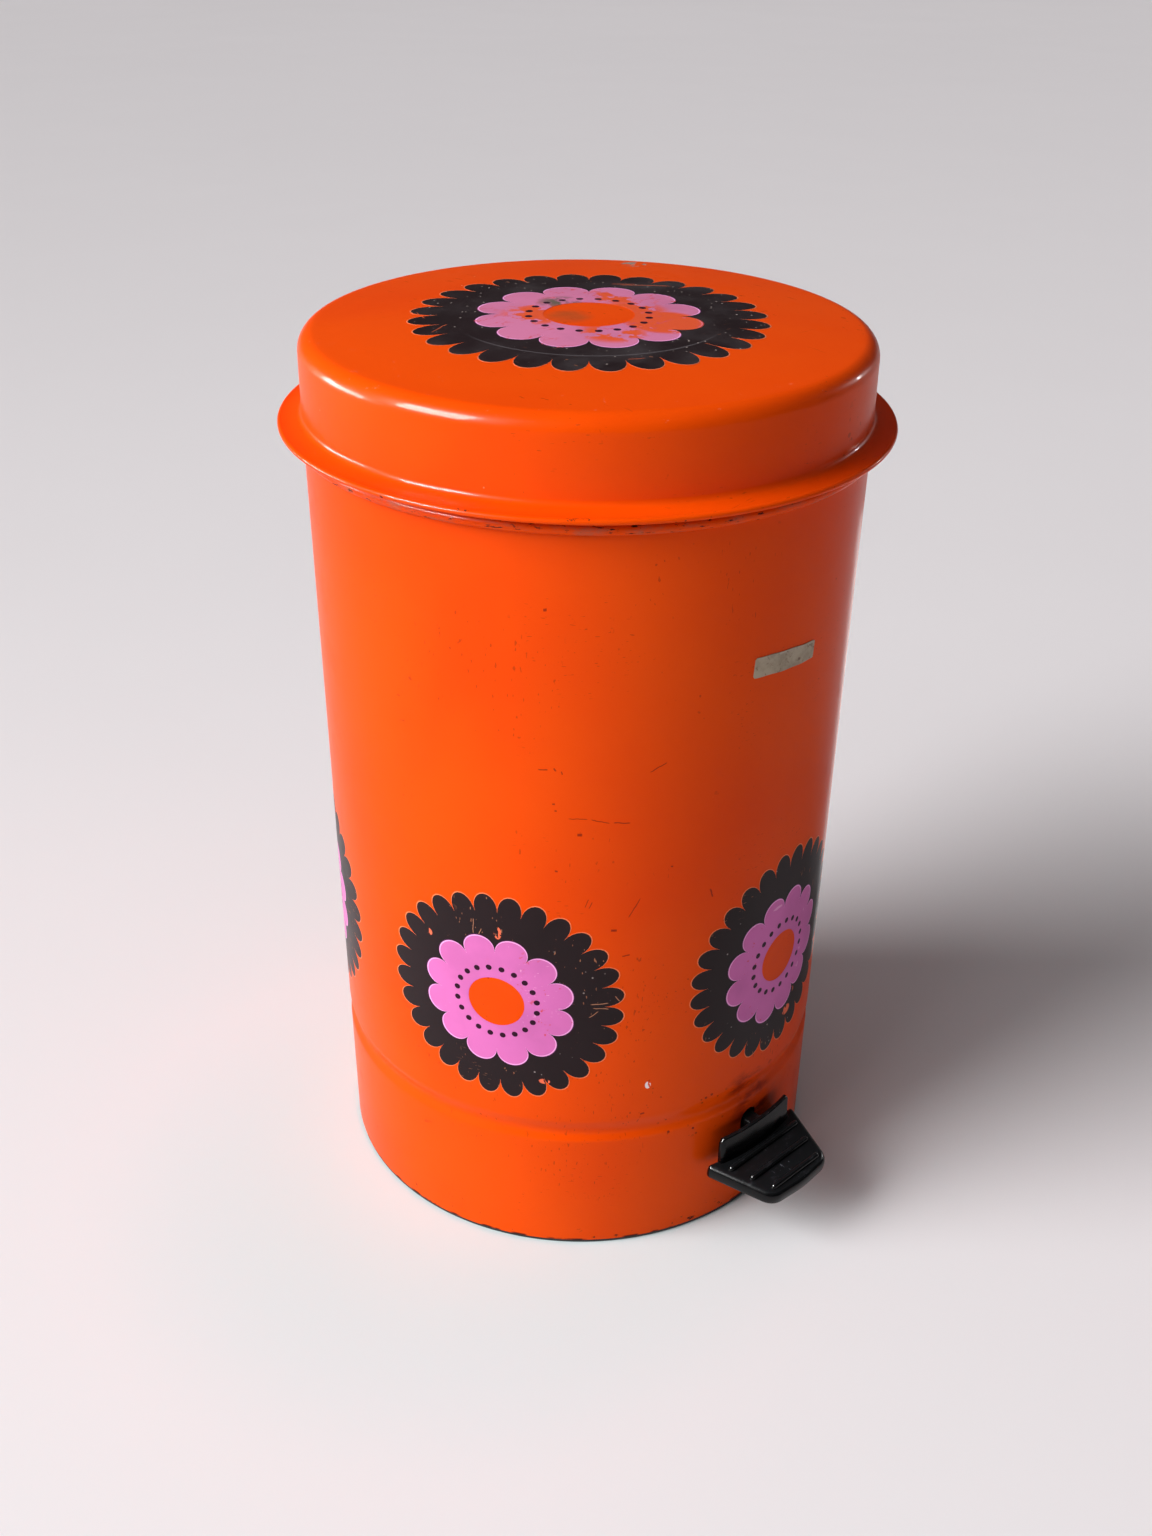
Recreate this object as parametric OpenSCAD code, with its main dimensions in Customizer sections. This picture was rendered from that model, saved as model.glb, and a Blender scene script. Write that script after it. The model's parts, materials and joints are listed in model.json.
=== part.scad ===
// Pedal trash can: conical sheet steel body, hinged dished lid, push rod linkage and foot pedal.
// Origin on the can's axis at floor level, +Z up, pedal towards -Y, lid hinge towards +Y.

/* [Body] */
// Outer radius of the body at the foot
body_foot_r = 120.8; // [120:0.1:121.5]
// Outer radius of the body at the rim
body_top_r = 126.6; // [126.2:0.1:126.8]
// Height of the rim bead's centre
rim_z = 381.6; // [381:0.1:382.2]
// Section radius of the rolled rim bead
bead_r = 2.6; // [2.2:0.1:2.8]
// Thickness of the steel sheet
sheet = 0.8; // [0.6:0.1:0.9]
// Height of the pressed groove above the base plate's edge
groove_z = 71; // [70:0.5:73]
// Depth of the pressed groove
groove_depth = 1.2; // [0.8:0.1:1.4]

/* [Lid] */
// Outer radius of the lid's wall
lid_r = 126.8; // [126.8:0.1:127.2]
// Outer radius of the lid's flange
flange_r = 137.5; // [137:0.1:138]
// Height of the lid's crown above the floor
crown_z = 430.5; // [429:0.5:432]
// Rise of the domed top from shoulder to crown
dome_rise = 4.5; // [3:0.5:6]
// Radius of the lid's shoulder
shoulder_r = 7.7; // [6:0.1:8]
// Height where the lid's wall turns out into the flange
flange_z = 393; // [392.5:0.1:393.5]

/* [Bucket] */
// Outer radius of the bucket's bottom
bucket_foot_r = 84; // [80:1:86]
// Outer radius of the bucket's wall at its rim
bucket_top_r = 98.5; // [96:0.1:98.5]
// Height of the bucket's rim above the floor
bucket_top_z = 368; // [362:1:368]

/* [Pedal] */
// Half width of the pad at its back edge
pad_back_half = 33.5; // [30:0.5:35]
// Half width of the pad at its front edge
pad_front_half = 21; // [18:0.5:23]
// Distance of the pad's front edge from the can's axis
pad_front = 160; // [157:0.5:161]
// Height of the pad's top at its back edge
pad_top_z = 42; // [41:0.5:43]
// Downward slope of the pad, in degrees
pad_tilt = 7.8; // [6:0.1:9]
// Depth of the pad's skirt
pad_depth = 6.5; // [6:0.1:7]

/* [Linkage] */
// Distance of the push rod from the can's axis
rod_y = 112; // [111.8:0.1:112.2]
// Radius of the push rod's wire
rod_r = 2; // [1.8:0.1:2]
// Running clearance on each pin's radius
running = 0.06; // [0.04:0.01:0.09]

/* [Hidden] */
$fn = 64;

orange = "orangered";
black_plastic = "#202020";
zinc = "silver";

// Body
foot_gap = 2;                            // the sheet ends this far above the floor, on the floor ring
groove_up = 8;                           // the groove's reach above its deepest line
groove_down = 12;                        // and below it
bead_c = [body_top_r + bead_r - 1, rim_z];
slot_half = 5.5;                         // half width of the lever's slot in the skirt
slot_z = [16.5, 59];

// Lid
lip_r = 1.25;
lip_drop = 0.98;                         // the lip's centre is this far below the flange's upper face
shoulder_c = [lid_r - shoulder_r, crown_z - dome_rise - shoulder_r];
fillet_r = 3;
flange_slope = 13;
buffer_az = [0, 120, 240];
buffer_r = 129.3;

// Base plate
plate_z = 71;
plate_r = 119.5;
plate_t = 1;
plate_flange_z = 63;

// Linkage pivots, as [y, z]
hinge = [136, 378];
pivot = [-40, 36];
rod_x = 6.6;
rod_low_z = 18;
crank_angle = 36.6;                      // of the crank's tongue below level, with the lid shut
crank_half = 11;
tongue_reach = 32.6;
rod_play = 0.6;                          // between the rod's cap and the crank, with the lid shut
strap = 2;
pin_r = 2;
pivot_r = 3;
ear_r = 4.5;
lever_half = 1.5;
lug_half = 4;

// Bucket
bucket_z = plate_z + plate_t + 0.8;
bucket_bead = 2;
bail_wire = 1.75;
bail_z = bucket_top_z + bucket_bead + bail_wire + 0.3;
bail_r = 99;

// Points on an arc about c, from angle a0 to a1 in n steps
function arc(c, r, a0, a1, n) =
    [for (i = [0:n]) c + r * [cos(a0 + (a1 - a0) * i / n), sin(a0 + (a1 - a0) * i / n)]];

// Direction of an open line at its point i
function along(pts, i) =
    let (a = pts[max(i - 1, 0)], b = pts[min(i + 1, len(pts) - 1)]) (b - a) / norm(b - a);

// The line moved by t to its right
function beside(pts, t) =
    [for (i = [0:len(pts) - 1]) let (d = along(pts, i))
        [max(0, pts[i][0] + t * d[1]), pts[i][1] - t * d[0]]];

function reversed(pts) = [for (i = [len(pts) - 1:-1:0]) pts[i]];

// An outline with each corner i rounded to radius rs[i]
function rounded(pts, rs, n) =
    [for (i = [0:len(pts) - 1])
        let (
            p = pts[i],
            u = pts[(i + len(pts) - 1) % len(pts)] - p,
            v = pts[(i + 1) % len(pts)] - p,
            a = u / norm(u),
            b = v / norm(v),
            half = acos(a * b) / 2,
            cut = rs[i] / tan(half),
            c = p + (a + b) / norm(a + b) * rs[i] / sin(half),
            s = p + a * cut - c,
            e = p + b * cut - c,
            a0 = atan2(s[1], s[0]),
            turn = atan2(e[1], e[0]) - a0,
            sweep = turn > 180 ? turn - 360 : turn < -180 ? turn + 360 : turn
        )
        each (rs[i] == 0 ? [p] : arc(c, rs[i], a0, a0 + sweep, n))];

// Ring of sheet from an open radius-height line, with its thickness to the line's right
module sheet_ring(line, t) {
    rotate_extrude($fn = 96)
        polygon(concat(line, reversed(beside(line, t))));
}

// Solid ring of round section
module round_ring(c, r) {
    rotate_extrude($fn = 96)
        translate(c)
            circle(r, $fn = 32);
}

// A plate with its outline in the Y-Z plane, from x0 to x1
module side_plate(outline, x0, x1) {
    multmatrix([[0, 0, 1, 0], [1, 0, 0, 0], [0, 1, 0, 0], [0, 0, 0, 1]])
        translate([0, 0, x0])
            linear_extrude(x1 - x0)
                polygon(outline);
}

// Round bar along X
module bar_x(y, z, r, x0, x1) {
    translate([x0, y, z])
        rotate([0, 90, 0])
            cylinder(h = x1 - x0, r = r);
}

// Round bar along Y
module bar_y(x, z, r, y0, y1) {
    translate([x, y0, z])
        rotate([-90, 0, 0])
            cylinder(h = y1 - y0, r = r);
}

// Rivet along +Z: shank from 0 to grip, a domed head at each end
module rivet(shank_r, grip, head_r, head_h) {
    rotate_extrude($fn = 32)
        polygon(concat(
            [for (k = [0:4]) [head_r * sin(k * 22.5), -head_h * cos(k * 22.5)]],
            [[shank_r, 0], [shank_r, grip]],
            [for (k = [4:-1:0]) [head_r * sin(k * 22.5), grip + head_h * cos(k * 22.5)]]
        ));
}

// Spring clip: a washer with a slot in it, flat in the X-Y plane
module clip(bore_r, outer_r, t) {
    difference() {
        cylinder(h = t, r = outer_r);
        translate([0, 0, -1])
            cylinder(h = t + 2, r = bore_r);
        translate([0, -bore_r * 0.6, -1])
            cube([outer_r + 1, bore_r * 1.2, t + 2]);
    }
}

function body_r(z) = body_foot_r + (body_top_r - body_foot_r) * z / rim_z;

function groove(z) =
    let (d = z - groove_z, reach = d > 0 ? groove_up : groove_down)
    abs(d) >= reach ? 0 : groove_depth * (1 + cos(180 * d / reach)) / 2;

function body_line() =
    let (zs = concat([foot_gap, 30], [for (k = [-6:4]) groove_z + 2 * k], [rim_z]))
    [for (z = zs) [body_r(z) - groove(z), z]];

module lever_slot() {
    for (z = slot_z)
        bar_y(0, z + (z == slot_z[0] ? slot_half : -slot_half), slot_half, -140, -100);
    translate([-slot_half, -140, slot_z[0] + slot_half])
        cube([2 * slot_half, 40, slot_z[1] - slot_z[0] - 2 * slot_half]);
}

module outer_body() {
    color(orange)
        difference() {
            union() {
                sheet_ring(body_line(), -sheet);
                round_ring(bead_c, bead_r);
            }
            lever_slot();
            for (z = hinge_rivet_z)
                bar_y(0, z, pin_r, 110, 140);
        }
}

module base_plate() {
    color(orange)
        difference() {
            union() {
                translate([0, 0, plate_z])
                    cylinder(h = plate_t, r = plate_r, $fn = 96);
                translate([0, 0, plate_flange_z])
                    cylinder(h = plate_z - plate_flange_z + plate_t / 2, r = plate_r, $fn = 96);
            }
            translate([0, 0, plate_flange_z - 1])
                cylinder(h = plate_z - plate_flange_z + 1, r = plate_r - plate_t, $fn = 96);
            translate([rod_x, rod_y, plate_z - 1])
                cylinder(h = plate_t + 2, r = guide_r + 0.05);
            for (y = bracket_rivet_y)
                translate([0, y, plate_z - 1])
                    cylinder(h = plate_t + 2, r = pin_r);
        }
}

// Edging under the body's lower edge: a foot to stand on, and a leg up inside the sheet
module floor_ring() {
    ring_h = 8;
    outer_r = body_foot_r - 0.3;
    leg_r = body_r(ring_h) - sheet - 0.3;
    leg_t = 2.05;
    foot_h = foot_gap - 0.05;
    color(black_plastic)
        rotate_extrude($fn = 96)
            polygon([[leg_r - leg_t, 0], [outer_r, 0], [outer_r, foot_h], [leg_r, foot_h], [leg_r, ring_h],
                [leg_r - leg_t, ring_h]]);
}

// Blank label, wrapped round the cone and set a little askew
module maker_label() {
    z0 = 304;
    z1 = 314.5;
    half_turn = 8.75;
    gap = 0.12;
    t = 0.25;
    off_centre = -1.4;
    askew = 4;
    mid_z = (z0 + z1) / 2;
    color("lightgrey")
        rotate([0, 0, off_centre])
            translate([0, 0, mid_z])
                rotate([0, askew, 0])
                    translate([0, 0, -mid_z])
                        rotate([0, 0, -90 - half_turn])
                            rotate_extrude(angle = 2 * half_turn, $fn = 96)
                                polygon([[body_r(z0) + gap, z0], [body_r(z0) + gap + t, z0],
                                    [body_r(z1) + gap + t, z1], [body_r(z1) + gap, z1]]);
}

// Height of the lid's outer face at radius r, on its domed top
function dome_z(r) = crown_z - dome_rise * pow(r / shoulder_c[0], 2);

// Outer face of the lid's sheet, from its crown over the shoulder and down to the flange's edge
function lid_line() =
    let (
        down = 270 - flange_slope,
        fillet_c = [lid_r + fillet_r, flange_z],
        flange_start = fillet_c + fillet_r * [cos(down), sin(down)],
        end_r = flange_r - lip_r,
        dome_steps = 6,
        dome_end = shoulder_c[0] * 0.968
    )
    concat(
        [for (k = [0:dome_steps]) let (r = dome_end * k / dome_steps) [r, dome_z(r)]],
        arc(shoulder_c, shoulder_r, 86, 0, 8),
        arc(fillet_c, fillet_r, 180, down, 5),
        [[end_r, flange_start[1] - (end_r - flange_start[0]) * tan(flange_slope)]]
    );

// Centre of the rolled lip, just under the flange's edge
function lip_c() =
    let (line = lid_line(), last = line[len(line) - 1]) [last[0], last[1] - lip_drop];

module lid() {
    color(orange)
        difference() {
            union() {
                sheet_ring(lid_line(), sheet);
                round_ring(lip_c(), lip_r);
            }
            for (x = lid_rivet_x)
                bar_y(x, lid_rivet_z, pin_r, 115, 135);
        }
}

// Rubber buffers pressed under the flange, just above the body's rim bead
module lid_buffers() {
    low = bead_c[1] + bead_r + 0.35;
    top = flange_z - 4.1;
    stud_r = 2.4;
    color(black_plastic)
        for (a = buffer_az)
            rotate([0, 0, a])
                translate([0, -buffer_r, low])
                    cylinder(h = top - low, r = stud_r);
}

// Hinge: the lid's outer bracket wraps over the flange, the body's bracket stands between its ears
lid_ear_x = [10.6, 12.6];
body_ear_x = [8, 10];
lid_rivet_x = [-6, 6];
lid_rivet_z = 404;
hinge_rivet_z = [349, 362];
bracket_turn = 5.8;                      // half of the angle that the lid's bracket covers

function eye(c, r, a0, a1) = arc(c, r, a0, a1, 12);

// Ear of the lid's bracket: from the hinge up past the flange's edge and in to the lid's wall
function lid_ear() =
    concat(
        eye(hinge, ear_r, 20, -200),
        [[hinge[0] + 2.6, hinge[1] + 6.2], [flange_r + 0.6, 385.5], [flange_r + 0.6, 390.6], [127.4, 392.2],
            [127.4, 411], [129, 411], [131, 400], [flange_r + 3.6, 395], [flange_r + 4.2, 392]]
    );

module lid_hinge_bracket() {
    plate_in = lid_r + 0.04;
    plate_t = 1.6;
    plate_low = 396.5;
    plate_h = 15;
    color(zinc)
        difference() {
            union() {
                rotate([0, 0, 90 - bracket_turn])
                    rotate_extrude(angle = 2 * bracket_turn, $fn = 96)
                        translate([plate_in, plate_low])
                            square([plate_t, plate_h]);
                for (s = [0, 1])
                    mirror([s, 0, 0])
                        side_plate(lid_ear(), lid_ear_x[0], lid_ear_x[1]);
            }
            bar_x(hinge[0], hinge[1], pin_r + running, -20, 20);
            for (x = lid_rivet_x)
                bar_y(x, lid_rivet_z, pin_r, 120, 135);
        }
}

// Side view of the crank: a tongue from the hinge towards the rod, and a plate up inside the lid
function crank_outline() =
    let (
        u = [-cos(crank_angle), -sin(crank_angle)],
        n = [-u[1], u[0]] * -strap,
        tip = hinge + tongue_reach * u,
        heel = hinge + 19 * u,
        high_y = 125.1,
        low_y = 123.2,
        top_z = 412,
        joggle_z = [389.5, 394.5],
        turn_z = 373.5
    )
    [tip, heel, [low_y, turn_z], [low_y, joggle_z[0]], [high_y, joggle_z[1]], [high_y, top_z],
        [high_y - strap, top_z], [high_y - strap, joggle_z[1] + 0.9], [low_y - strap, joggle_z[0] + 0.9],
        [low_y - strap, turn_z - 1.5], heel + n + 2.2 * u, tip + n];

module lid_crank() {
    color(zinc)
        difference() {
            side_plate(crank_outline(), -crank_half, crank_half);
            for (x = lid_rivet_x)
                bar_y(x, lid_rivet_z, pin_r, 115, 135);
        }
}

module lid_rivets() {
    inner = 123.05;
    outer = 128.6;
    color(zinc)
        for (x = lid_rivet_x)
            translate([x, inner, lid_rivet_z])
                rotate([-90, 0, 0])
                    rivet(pin_r - 0.03, outer - inner, 3.4, 1.4);
}

function body_ear() =
    concat(
        eye(hinge, ear_r, 150, -30),
        [[127.6, 344], [126.9, 344], [127.2, 371]]
    );

module body_hinge_bracket() {
    z0 = 343;
    z1 = 371;
    gap = 0.04;
    t = 1.6;
    half_turn = 4.5;
    color(zinc)
        difference() {
            union() {
                rotate([0, 0, 90 - half_turn])
                    rotate_extrude(angle = 2 * half_turn, $fn = 96)
                        polygon([[body_r(z0) + gap, z0], [body_r(z0) + gap + t, z0],
                            [body_r(z1) + gap + t, z1], [body_r(z1) + gap, z1]]);
                for (s = [0, 1])
                    mirror([s, 0, 0])
                        side_plate(body_ear(), body_ear_x[0], body_ear_x[1]);
            }
            bar_x(hinge[0], hinge[1], pin_r + running, -20, 20);
            for (z = hinge_rivet_z)
                bar_y(0, z, pin_r, 120, 135);
        }
}

module body_hinge_rivets() {
    color(zinc)
        for (z = hinge_rivet_z) {
            inner = body_r(z) - sheet - 0.2;
            outer = body_r(z) + 1.7;
            translate([0, inner, z])
                rotate([-90, 0, 0])
                    rivet(pin_r - 0.03, outer - inner, 3.4, 1.3);
        }
}

module hinge_pin() {
    head = 13;
    color(zinc) {
        bar_x(hinge[0], hinge[1], pin_r, -head - 0.2, 15.5);
        bar_x(hinge[0], hinge[1], 3.2, -head - 1.6, -head);
    }
}

module hinge_pin_clip() {
    color(zinc)
        translate([12.9, hinge[0], hinge[1]])
            rotate([0, 90, 0])
                clip(pin_r + 0.02, 3.8, 1);
}

// Height of the crank's lower face above the rod, with the lid shut
crank_z = hinge[1] - (hinge[0] - rod_y) * tan(crank_angle);
cap_r = 3.6;
cap_top = crank_z - rod_play - cap_r * (1 / cos(crank_angle) - 1);

// Wire rod: straight up to the cap, bent at its foot into a hook through the lever's slot
module push_rod() {
    bend = 5;
    hook_end = -5.5;
    color(zinc) {
        translate([rod_x, rod_y, rod_low_z + bend])
            cylinder(h = cap_top - 3 - rod_low_z - bend, r = rod_r);
        translate([rod_x - bend, rod_y, rod_low_z + bend])
            rotate([-90, 0, 0])
                rotate_extrude(angle = 90, $fn = 96)
                    translate([bend, 0])
                        circle(rod_r, $fn = 32);
        bar_x(rod_y, rod_low_z, rod_r, hook_end, rod_x - bend);
    }
}

module push_rod_cap() {
    skirt = 10;
    color(black_plastic)
        difference() {
            union() {
                translate([rod_x, rod_y, cap_top - cap_r])
                    sphere(cap_r, $fn = 48);
                translate([rod_x, rod_y, cap_top - cap_r - skirt])
                    cylinder(h = skirt, r = cap_r);
            }
            translate([rod_x, rod_y, cap_top - cap_r - skirt - 1])
                cylinder(h = skirt + cap_r - 1.95, r = rod_r + 0.02);
        }
}

module push_rod_clip() {
    color(zinc)
        translate([-3.4, rod_y, rod_low_z])
            rotate([0, 90, 0])
                clip(rod_r + 0.02, 4, 1);
}

guide_r = 4;

// Nylon bush that snaps into the base plate, with a flange on each side of it
module rod_guide() {
    flange_h = 2;
    gap = 0.02;
    color(black_plastic)
        translate([rod_x, rod_y, plate_z])
            difference() {
                union() {
                    translate([0, 0, -flange_h])
                        cylinder(h = plate_t + 2 * flange_h, r = guide_r);
                    for (z = [plate_t + gap, -flange_h - gap])
                        translate([0, 0, z])
                            cylinder(h = flange_h, r = guide_r + 2);
                }
                translate([0, 0, -5])
                    cylinder(h = 12, r = rod_r + running);
            }
}

// Pedal lever: a flat bar on edge, from the pad's lug to the rod's lower end
screw_y = -112;
screw_z = 48.6;
lever_tip = -124;
lever_slot_half = rod_r + 0.5;
hook_play = 1.3;                         // the rod's hook slides this far each way as the lever tips

function lever_outline() =
    let (tail = [rod_y, rod_low_z], neck_y = -104)
    concat(
        eye(tail + [0.6, 0], 5.4, 75, -100),
        [[pivot[0] + 20, pivot[1] - 9], [pivot[0] - 10, pivot[1] - 8], [neck_y, 42.6], [lever_tip, 44]],
        [[lever_tip, 53.4], [neck_y, 54.2], [-78, 50.5]],
        [for (dy = [-5, 8]) pivot + [dy, 9]]
    );

module pedal_lever() {
    color(zinc)
        difference() {
            side_plate(lever_outline(), -lever_half, lever_half);
            bar_x(pivot[0], pivot[1], pivot_r + running, -5, 5);
            for (dy = [-hook_play, hook_play])
                bar_x(rod_y + dy, rod_low_z, lever_slot_half, -5, 5);
            translate([-5, rod_y - hook_play, rod_low_z - lever_slot_half])
                cube([10, 2 * hook_play, 2 * lever_slot_half]);
            bar_x(screw_y, screw_z, 1.6, -5, 5);
        }
}

bracket_ear_x = [2.1, 4.1];
bracket_rivet_y = [-58, -22];

bracket_half = 27;
bracket_top = plate_z - 0.1;

function bracket_ear() =
    concat(
        eye(pivot, 8, 180, 360),
        [[pivot[0] + bracket_half, bracket_top], [pivot[0] - bracket_half, bracket_top]]
    );

module lever_bracket() {
    web_t = 2;
    color(zinc)
        difference() {
            union() {
                for (s = [0, 1])
                    mirror([s, 0, 0])
                        side_plate(bracket_ear(), bracket_ear_x[0], bracket_ear_x[1]);
                translate([-bracket_ear_x[0] - 1, pivot[0] - bracket_half, bracket_top - web_t])
                    cube([2 * bracket_ear_x[0] + 2, 2 * bracket_half, web_t]);
            }
            bar_x(pivot[0], pivot[1], pivot_r + running, -8, 8);
            for (y = bracket_rivet_y)
                translate([0, y, plate_z - 5])
                    cylinder(h = 10, r = pin_r - 0.4);
        }
}

module lever_bracket_rivets() {
    color(zinc)
        for (y = bracket_rivet_y)
            translate([0, y, plate_z - 2.12])
                rivet(pin_r - 0.43, plate_t + 2.14, 1.95, 0.35);
}

module lever_pivot_pin() {
    color(zinc) {
        bar_x(pivot[0], pivot[1], pivot_r, -4.4, 7);
        bar_x(pivot[0], pivot[1], 4.6, -6, -4.2);
    }
}

module lever_pivot_clip() {
    color(zinc)
        translate([4.3, pivot[0], pivot[1]])
            rotate([0, 90, 0])
                clip(pivot_r + 0.02, 5.2, 1);
}

// Pad, in its own tilted frame: x across, y towards the can, z up from the top face
pad_back_r = 126.5;

function pad_outline(inset) =
    let (
        front = -(pad_front - pad_back_r) + inset,
        back_half = pad_back_half - 1.15 * inset,
        front_half = pad_front_half - 0.8 * inset,
        sag = pad_back_r - sqrt(pad_back_r * pad_back_r - pad_back_half * pad_back_half)
    )
    concat(
        rounded([[-back_half, sag - inset], [-front_half, front + 1.6], [0, front], [front_half, front + 1.6],
            [back_half, sag - inset]], [2, 6, 60, 6, 2], 6),
        [for (k = [4:-1:-4]) let (x = back_half * k / 5)
            [x, pad_back_r - sqrt(pad_back_r * pad_back_r - x * x) - inset]]
    );

module pad_frame() {
    translate([0, -pad_back_r, pad_top_z])
        rotate([pad_tilt, 0, 0])
            children();
}

module pad_rib(from_axis, half) {
    r = 1.75;
    y = -(from_axis - pad_back_r);
    sink = 0.45;
    bar_x(y, -sink, r, -half + r, half - r);
    for (s = [-1, 1])
        translate([s * (half - r), y, -sink])
            sphere(r, $fn = 32);
}

// Curved guard along the pad's back edge, which keeps the shoe off the body
module pad_upstand() {
    half_turn = 11.4;
    t = 2.8;
    foot = 3;
    rise = 12;
    rotate([0, 0, -90 - half_turn])
        rotate_extrude(angle = 2 * half_turn, $fn = 96)
            translate([pad_back_r, pad_top_z - foot])
                square([t, foot + rise]);
}

// Lug that reaches through the body's slot and holds the lever's end
module lever_lug() {
    top = 56;
    low = 41.6;
    outer = -129;
    inner = -105;
    side_plate([[outer, low - 3.5], [outer, top - 4], [outer + 1.5, top], [inner - 3, top], [inner, top - 3],
        [inner, low + 3], [inner - 3, low]], -lug_half, lug_half);
}

module pedal_pad() {
    wall = 2.2;
    top_t = 2.6;
    fit = 0.05;
    color(black_plastic)
        difference() {
            union() {
                pad_frame() {
                    difference() {
                        translate([0, 0, -pad_depth])
                            linear_extrude(pad_depth)
                                polygon(pad_outline(0));
                        translate([0, 0, -pad_depth - 1])
                            linear_extrude(pad_depth + 1 - top_t)
                                polygon(pad_outline(wall));
                    }
                    pad_rib(132.3, 24.5);
                    pad_rib(143.7, 20.3);
                    pad_rib(153.6, 16.3);
                }
                pad_upstand();
                lever_lug();
            }
            side_plate([[lever_tip - 0.1, 43.9], [lever_tip - 0.1, 53.5], [-104, 54.35], [-100, 54.35],
                [-100, 42.4], [-104, 42.4]], -lever_half - fit, lever_half + fit);
            bar_x(screw_y, screw_z, 1.6, -8, 8);
        }
}

module pedal_screw() {
    color(zinc)
        translate([-lug_half - 0.03, screw_y, screw_z])
            rotate([0, 90, 0])
                rivet(1.55, 2 * lug_half + 0.06, 2.8, 1.1);
}

function bucket_wall(z) =
    bucket_foot_r + (bucket_top_r - bucket_foot_r) * (z - bucket_z) / (bucket_top_z - bucket_z);

// Sheet bucket with a rounded foot and a rolled rim
module inner_bucket() {
    foot_round = 6;
    t = 0.8;
    line = concat(
        [[0, bucket_z]],
        arc([bucket_foot_r - foot_round, bucket_z + foot_round], foot_round, -90, 0, 5),
        [[bucket_top_r, bucket_top_z]]
    );
    color(zinc)
        difference() {
            union() {
                sheet_ring(line, -t);
                round_ring([bucket_top_r + bucket_bead - 1.2, bucket_top_z], bucket_bead);
            }
            for (x0 = [85, -110], y = ear_rivet_y)
                bar_x(y, ear_rivet_z, ear_rivet_r + 0.05, x0, x0 + 25);
        }
}

ear_rivet_z = 352;
ear_rivet_y = [-4.5, 4.5];
ear_rivet_r = 1.5;
ear_half = 9;
ear_x = 101.9;
ear_gap = 0.45;                          // between the bucket's wall and the ear's foot

module bucket_ears() {
    foot_x = bucket_wall(ear_rivet_z) + ear_gap;
    foot_z = 346;
    bend_z = [357.5, 361.5];
    top_z = bail_z + 6;
    t = 1.5;
    color(zinc)
        for (s = [0, 1])
            mirror([s, 0, 0])
                difference() {
                    translate([0, ear_half, 0])
                        rotate([90, 0, 0])
                            linear_extrude(2 * ear_half)
                                polygon([[foot_x, foot_z], [foot_x + t, foot_z], [foot_x + t, bend_z[0]],
                                    [ear_x + t, bend_z[1]], [ear_x + t, top_z], [ear_x, top_z],
                                    [ear_x, bend_z[1] + 0.7], [foot_x, bend_z[0] + 0.7]]);
                    bar_x(0, bail_z, bail_wire + running, 90, 110);
                    for (y = ear_rivet_y)
                        bar_x(y, ear_rivet_z, ear_rivet_r + 0.05, 90, 110);
                }
}

module bucket_ear_rivets() {
    inner = bucket_wall(ear_rivet_z) - 1.35;
    outer = bucket_wall(ear_rivet_z) + ear_gap + 1.52;
    color(zinc)
        for (s = [0, 1], y = ear_rivet_y)
            mirror([s, 0, 0])
                translate([inner, y, ear_rivet_z])
                    rotate([0, 90, 0])
                        rivet(ear_rivet_r, outer - inner, 2.6, 1);
}

module bucket_bail() {
    color(zinc) {
        translate([0, 0, bail_z])
            rotate([0, 0, 180])
                rotate_extrude(angle = 180, $fn = 96)
                    translate([bail_r, 0])
                        circle(bail_wire, $fn = 32);
        for (s = [0, 1])
            mirror([s, 0, 0]) {
                translate([bail_r, 0, bail_z])
                    sphere(bail_wire, $fn = 32);
                bar_x(0, bail_z, bail_wire, bail_r, ear_x + 3.6);
            }
    }
}

outer_body();
base_plate();
floor_ring();
maker_label();
lid();
lid_buffers();
lid_hinge_bracket();
lid_crank();
lid_rivets();
body_hinge_bracket();
body_hinge_rivets();
hinge_pin();
hinge_pin_clip();
push_rod();
push_rod_cap();
push_rod_clip();
rod_guide();
pedal_lever();
lever_bracket();
lever_bracket_rivets();
lever_pivot_pin();
lever_pivot_clip();
pedal_pad();
pedal_screw();
inner_bucket();
bucket_ears();
bucket_ear_rivets();
bucket_bail();
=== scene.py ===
import json
import math

import bmesh
import bpy
import numpy as np
from mathutils import Matrix, Vector

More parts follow.
